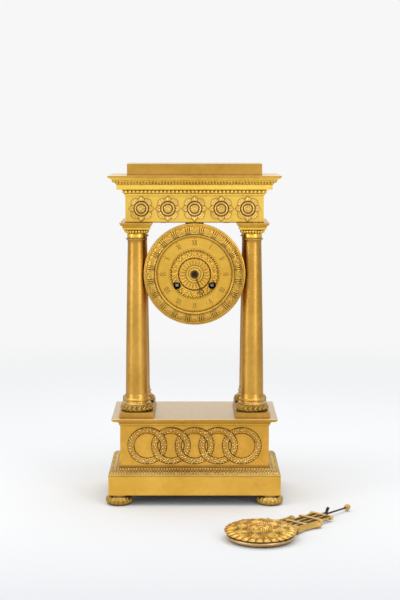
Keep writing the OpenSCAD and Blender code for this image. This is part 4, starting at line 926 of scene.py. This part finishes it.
radii = np.linspace(CENTRE_IN, CENTRE_OUT, 74)[:, None]
angles = around(CENTRE_SEG)
top = polar(radii, angles, centre_height(radii, angles))
foot = polar(radii[[-1, 0]], angles, np.zeros((2, CENTRE_SEG)))
plate = np.concatenate([top, foot])
relief = Shape().add((plate, quads(len(plate), CENTRE_SEG, True, True)), on_face)
medallion = make("carved_dial_centre", relief, MEDAL, replaces=["dial_centre"])
punch_profile = [(0, -3), (HOLE_R, -3), (HOLE_R, 6), (0, 6)]
cutter = make("punch", at_holes(lathe(punch_profile, 48, None, 20.0)), DIAL)
hole = medallion.modifiers.new("holes", "BOOLEAN")
hole.object = cutter
hole.operation = "DIFFERENCE"
hole.solver = "EXACT"
bpy.context.view_layer.objects.active = medallion
bpy.ops.object.modifier_apply(modifier="holes")
bpy.data.objects.remove(cutter)

# Dark ring laid in the groove of the dial centre as painted shade
groove_shade_profile = [(21.5, 0.1), (23.3, 0.1), (23.3, 0.5), (21.5, 0.5)]
make("centre_groove_shade", Shape().add(lathe(groove_shade_profile, 180, closed=True), on_face), SHADE_LINES)
# The eyelets are painted dark as the shade inside the winding holes
eyelet_profile = [(HOLE_R, 0.1), (5.1, 0.1), (5.1, 2.3), (4.9, 2.6), (4.6, 2.6), (HOLE_R, 2.4)]
make("winding_eyelets", at_holes(lathe(eyelet_profile, 48, closed=True)), HOLE_SHADE)


# Bob of the pendulum, laid on the ground
lens_low, lens_high = span("bob_lens")
LENS_R, LENS_T = (lens_high[0] - lens_low[0]) / 2, 8.0
BOB = (lens_low + lens_high) / 2
BOB_ANGLE = math.radians(47)
BOB_R, SCALLOPS, LEAN, UNDERSIDE = 47.4, 28, 0.045, 0.92
VOLUTES, VOLUTE_AT, PEARLS = 7, 27.5, 34
at_bob = chain(turn(BOB_ANGLE), shift(BOB[0], BOB[1]))


def bob_outline(angle):
    wave = np.abs(COS(SCALLOPS / 2 * angle))
    return BOB_R - 2.9 + 2.8 * wave ** 0.6


def bob_height(r, angle):
    """Relief of the bob's face: a shell of flutes at the rim, a ring of volutes, a flower in the middle."""
    edge = bob_outline(angle)
    lean = LEAN * r * COS(angle + BOB_ANGLE - TAU / 4)
    crown = 17.2 - 5.0 * (r / edge) ** 2.8 + lean
    ridge = 1.4 * np.abs(COS(SCALLOPS / 2 * angle)) ** 0.8
    flute = ridge * share(r, 35.0, 40.0) * (1 - share(r, 43.0, 46.0))
    rim = 1.1 * bulge(r, edge - 2.4, edge + 0.6)
    sector = angle * VOLUTES / TAU
    side = apart(sector) * TAU / VOLUTES * r
    away = np.hypot(side, r - VOLUTE_AT)
    spin = np.arctan2(r - VOLUTE_AT, side)
    volute = flat(1 - away / 10.2, 0.12) * (0.35 + 0.65 * flat(0.5 + 0.5 * COS(away * 2.2 - spin), 0.7))
    button = 1.25 * flat(1 - away / 2.6, 0.5)
    volutes = np.maximum(volute, button) * within(r, 16.6, 38.4)
    beside = np.abs(apart(sector + 0.5)) * TAU / VOLUTES * r
    swell = 0.5 + 3.2 * SIN(math.pi * share(r, 30.0, 39.5)) ** 0.7
    sprig = 0.9 * flat(1 - beside / swell, 0.4) * within(r, 30, 39.5)
    pearls = beads(angle * PEARLS / TAU) * flat(1 - np.abs(r - 15.6) / 1.2, 0.6)
    heart = flat(1 - r / (10.5 + 2.6 * COS(8 * angle)), 0.3) * (1 - 0.5 * dip(r - 4.8, 0.6))
    relief = highest(volutes, sprig, pearls, heart)
    return crown - 1.2 + 1.9 * relief + flute + rim


bob = Shape().add(disc(bob_outline, bob_height, 84, 448, LENS_T, UNDERSIDE), at_bob)
make("carved_bob_face", bob, SHELL, body="pendulum", replaces=["bob_front"])
lens_profile = [(0, 0), (LENS_R - 3.4, 0), (LENS_R - 2.6, 0.4), (LENS_R - 0.4, 2.4), (LENS_R + 1.1, 4.2),
                (LENS_R + 1.4, 5.4), (LENS_R + 0.9, 6.5), (LENS_R - 0.8, 7.1), (LENS_R - 0.8, LENS_T),
                (0, LENS_T)]
make("bob_weight", Shape().add(lathe(lens_profile, 160, None, 3.0), at_bob), PALE, body="pendulum",
     replaces=["bob_lens"])


# Rating knob
KNOB_AT, ROD_Z = 184.0, 5.5
KNURLS, KNURL_DEPTH, KNURL_HALF = 26, 0.3, 1.1


def carve_knob(r, z, angle):
    knurl = KNURL_DEPTH * beads(angle * KNURLS / TAU) - KNURL_DEPTH
    return np.where(within(z, -KNURL_HALF, KNURL_HALF) & (r > 4.1), knurl, 0.0)


def along_rods(start, y=0.0):
    """Lays a form turned about Z along the pendulum, from start, at the height of its rods."""
    return chain(lambda v: np.stack([start + v[:, 2], v[:, 0], ROD_Z + v[:, 1]], -1), shift(0, y), at_bob)


knob_profile = [(1.2, -4), (2.8, -4), (3.3, -3.6), (3.3, -2.8), (2.3, -2.5), (2.3, -2.0), (3.8, -1.7),
                (4.2, -1.2), (4.2, 1.2), (3.8, 1.7), (2.4, 2.1), (2.4, 2.5), (3.2, 2.8), (3.2, 3.5),
                (2.7, 4.0), (1.2, 4.0)]
knurled = lathe(knob_profile, 104, carve_knob, 0.5, True)
make("turned_rating_knob", Shape().add(knurled, along_rods(KNOB_AT)), BRASS, body="rating_knob",
     replaces=["rating_knob"])


# Lyre neck: two arms with turned ends, set with beads, and leaves at the root
NECK_FOOT_Z, NECK_TOP_Z = 2.0, 9.0
SWEEP, WAIST, HALF_WAIST = 60.0, 66.0, 21.4
GRID_HALF, GRID_FOOT, GRID_TOP = 18.5, 53.0, 128.5
ARM_START, ARM_END, ARM_END_Y = 46.0, 91.5, 22.8
ARM_BEADS, BEAD_START, BEAD_STEP, BEAD_IN = 17, 27, 3.35, 1.5
NECK_SECTION = [(0, 0), (0, 0.85), (0.15, 1), (0.5, 0.92), (0.85, 1), (1, 0.85), (1.05, 0.5), (1, 0.15),
                (0.9, 0)]
ACROSS, UP = np.array(NECK_SECTION).T


def neck_rise(x):
    """Top of the neck, which falls towards the ends of its arms."""
    return NECK_TOP_Z - 2.4 * share(x, 62.0, 92.0)


def neck_arm(sy):
    x = np.linspace(ARM_START, ARM_END, 40)[:, None]
    outer = HALF_WAIST + SWEEP - np.sqrt(SWEEP ** 2 - (x - WAIST) ** 2)
    y = sy * (GRID_HALF + ACROSS * (outer - GRID_HALF))
    z = NECK_FOOT_Z + UP * (neck_rise(x) - NECK_FOOT_Z)
    return closed_sweep(np.stack([x + 0 * y, y, z], -1))


def neck_root():
    y = np.linspace(-21.0, 21.0, 30)[:, None]
    inner = np.sqrt(BOB_R ** 2 - y ** 2)
    x = inner + ACROSS * (GRID_FOOT - inner)
    z = NECK_FOOT_Z + UP * (NECK_TOP_Z - NECK_FOOT_Z)
    return closed_sweep(np.stack([x, y + 0 * x, z + 0 * x], -1))


end_profile = [(0, 0), (3.2, 0), (3.9, 0.7), (3.9, 1.9), (3.2, 2.4), (3.2, 2.9), (3.8, 3.4), (3.8, 4.5),
               (2.9, 5.1), (1.6, 5.4), (1.4, 6.2), (0, 6.5)]
lyre = Shape().add(neck_root(), at_bob)
ornament = Shape()
for sy in (-1, 1):
    lyre.add(neck_arm(sy), at_bob)
    lyre.add(lathe(end_profile, 48, None, 0.6), chain(shift(ARM_END, sy * ARM_END_Y, NECK_FOOT_Z), at_bob))
    for i in range(ARM_BEADS):
        a = math.radians(sy * (-90 - BEAD_START + i * BEAD_STEP))
        x = WAIST + (SWEEP + BEAD_IN) * math.cos(a)
        y = sy * (HALF_WAIST + SWEEP) + (SWEEP + BEAD_IN) * math.sin(a)
        ornament.add(knob(2.5, 2.5, 1.3), chain(shift(x, y, neck_rise(x) - 0.2), at_bob))
make("lyre_neck", lyre, SHELL, body="pendulum", replaces=["pendulum_neck"])
for i in range(-2, 3):
    ornament.add(leaf(13.0 - abs(i), 8.0, 2.6, 9, 7),
                 chain(turn(math.pi + i * 0.22), shift(GRID_FOOT, i * 6.4, NECK_TOP_Z - 0.6), at_bob))
make("neck_ornament", ornament, SHELL, body="pendulum")


# Gridiron of light and dark rods in turn, and the leaning hook
ROD_COUNT, ROD_PITCH, LIGHT_R, DARK_R = 7, 5.0, 1.5, 1.4
light_rods, dark_rods = Shape(), Shape()
for i in range(ROD_COUNT):
    rods, radius = (dark_rods, DARK_R) if i % 2 else (light_rods, LIGHT_R)
    length = GRID_TOP - GRID_FOOT
    rods.add(lathe([(0, 0), (radius, 0), (radius, length), (0, length)], 20, None, 80.0),
             along_rods(GRID_FOOT, (i - (ROD_COUNT - 1) / 2) * ROD_PITCH))
make("light_rods", light_rods, BRASS, body="pendulum", replaces=["gridiron_rods"])
make("dark_rods", dark_rods, HAND, body="pendulum")
hook_path = [(136.8, 6.4), (137.8, 8.4), (138.9, 10.4), (140.2, 12.2), (141.8, 13.6)]
hook = Shape().add(strip([(GRID_TOP, ROD_Z), (GRID_TOP + 9.6, ROD_Z)], 4.4, 5.0), at_bob)
hook.add(strip(hook_path, 3.8, 2.2), at_bob)
make("steel_hook", hook, DARK, body="pendulum", replaces=["pendulum_hook"], bevel=0.3)


# Materials and softened edges of the CAD nodes that stay
PAINT = [
    (BASE, 0.35, ["base_plinth"]),
    (PLINTHS, 0.35, ["column_plinths"]),
    (ATTIC, 0.35, ["attic_block"]),
    (BLOCK, 0.35, ["base_block"]),
    (FRIEZE, 0.35, ["frieze_box"]),
    (GILT, 0.25, ["rear_cover", "cover_knob"]),
    (BRONZE, 0.0, ["drum_case", "drum_saddle", "bell"]),
    (DIAL, 0.0, ["dial_plate"]),
    # Parts behind the dial are painted dark as the shade seen through the winding holes
    (HOLE_SHADE, 0.0, ["front_plate", "dial_posts", "hour_wheel"]),
    (BRASS, 0.2, ["gridiron_bars", "cover_hinge"]),
    (BRASS, 0.0, ["case_nuts", "back_plate", "plate_pillars", "going_barrel", "strike_barrel",
                  "intermediate_wheel", "centre_wheel", "third_wheel", "escape_wheel", "back_cock",
                  "minute_wheel", "pin_wheel"]),
    (STEEL, 0.0, ["case_bolts", "tie_rods", "going_arbor", "strike_arbor", "pallets", "suspension_spring",
                  "minute_stud", "hammer", "bell_stand"]),
    (HAND, 0.15, ["hour_hand"]),
    (DARK, 0.0, ["cannon_pinion", "top_rod"]),
]
for material, edge, names in PAINT:
    for name in names:
        nodes[name].data.materials.clear()
        nodes[name].data.materials.append(material)
        if edge:
            soften(nodes[name], edge)


# Floor and studio light: white backdrop for the camera, a room with darker sides for reflections
WHITE = 0.93
WARMTH = 0.99
ROOM = [(-1.0, 1.0), (-0.86, 1.0), (-0.66, 0.9), (-0.4, 0.66), (0.0, 0.64), (0.5, 0.6), (0.8, 0.64),
        (0.93, 0.9)]
# Bluish paper tones, darker towards the front: painted shade, and a tint against the warm light bounced
# from the gilt
PAPER_FRONT, PAPER_BACK = rgb(0.583, 0.598, 0.622), rgb(0.705, 0.717, 0.735)


def room(net, way):
    """Brightness of the room from behind the camera round to the back, and white for the camera."""
    place = net.add("ShaderNodeMath", {0: net.axis(way, "Y"), 1: 0.5, 2: 0.5}, operation="MULTIPLY_ADD")
    ramp = net.add("ShaderNodeValToRGB", {0: place.outputs[0]})
    stops = ramp.color_ramp.elements
    while len(stops) < len(ROOM):
        stops.new(0.5)
    for stop, (y, value) in zip(stops, ROOM):
        stop.position = (y + 1) / 2
        stop.color = rgb(value, value, value * WARMTH)
    seen = net.add("ShaderNodeLightPath").outputs["Is Camera Ray"]
    return net.mix(seen, ramp.outputs[0], rgb(WHITE, WHITE, WHITE))


def floor_material():
    """Paper near the clock, which passes into the glow of the room far away.
    Its colour is painted shade, darker towards the front, with a bluish tint against the warm light bounced
    from the gilt.
    """
    net = Net(bpy.data.materials.new("pale_floor"))
    distance = net.add("ShaderNodeVectorMath", {0: net.coords}, operation="LENGTH").outputs["Value"]
    way = net.add("ShaderNodeVectorMath", {0: net.coords}, operation="NORMALIZE").outputs["Vector"]
    tone = net.mix(net.ramp(net.axis(net.coords, "Y"), -0.55, -0.1), PAPER_FRONT, PAPER_BACK)
    paper = net.add("ShaderNodeBsdfDiffuse", {"Color": tone})
    seen = net.add("ShaderNodeLightPath").outputs["Is Camera Ray"]
    strength = net.combine("MAXIMUM", seen, net.ramp(distance, 1.2, 3.4, 0.5, 1.0))
    glow = net.add("ShaderNodeEmission", {"Color": room(net, way), "Strength": strength})
    far = net.ramp(distance, 0.7, 1.6)
    return net.finish(net.add("ShaderNodeMixShader", {0: far, 1: paper.outputs[0], 2: glow.outputs[0]}))


bpy.ops.mesh.primitive_circle_add(vertices=96, radius=7.0, fill_type="NGON", location=(0, 0, 0))
ground = bpy.context.object
ground.name = "floor"
ground.data.materials.append(floor_material())

sky = Net(bpy.data.worlds.new("studio"), "Generated")
backdrop = sky.add("ShaderNodeBackground", {"Color": room(sky, sky.coords)})
scene.world = sky.finish(backdrop, "World")


def softbox(name, place, aim, width, height, power):
    lamp = bpy.data.lights.new(name, "AREA")
    lamp.shape = "RECTANGLE"
    lamp.size, lamp.size_y = width, height
    lamp.energy = power
    holder = bpy.data.objects.new(name, lamp)
    holder.location = place
    holder.rotation_euler = (Vector(aim) - Vector(place)).to_track_quat("-Z", "Y").to_euler()
    scene.collection.objects.link(holder)


softbox("softbox_left", (-1.75, -0.95, 0.85), (0, 0, 0.25), 0.7, 1.5, 10.0)
softbox("softbox_right", (1.2, -1.65, 0.85), (0, 0, 0.25), 0.7, 1.5, 9.8)
softbox("softbox_top", (0.0, 0.0, 2.2), (0, 0, 0.0), 2.6, 2.2, 40.0)

CAMERA_DROP = 4.235
camera_data = bpy.data.cameras.new("camera")
camera = bpy.data.objects.new("camera", camera_data)
scene.collection.objects.link(camera)
camera_data.lens = 84.47
camera_data.shift_x = 0.0091
camera_data.shift_y = -0.1
camera.location = (0.0, -2.0089, 0.5166)
camera.rotation_euler = (math.radians(90 - CAMERA_DROP), 0, 0)
scene.camera = camera
scene.view_settings.view_transform = "Standard"
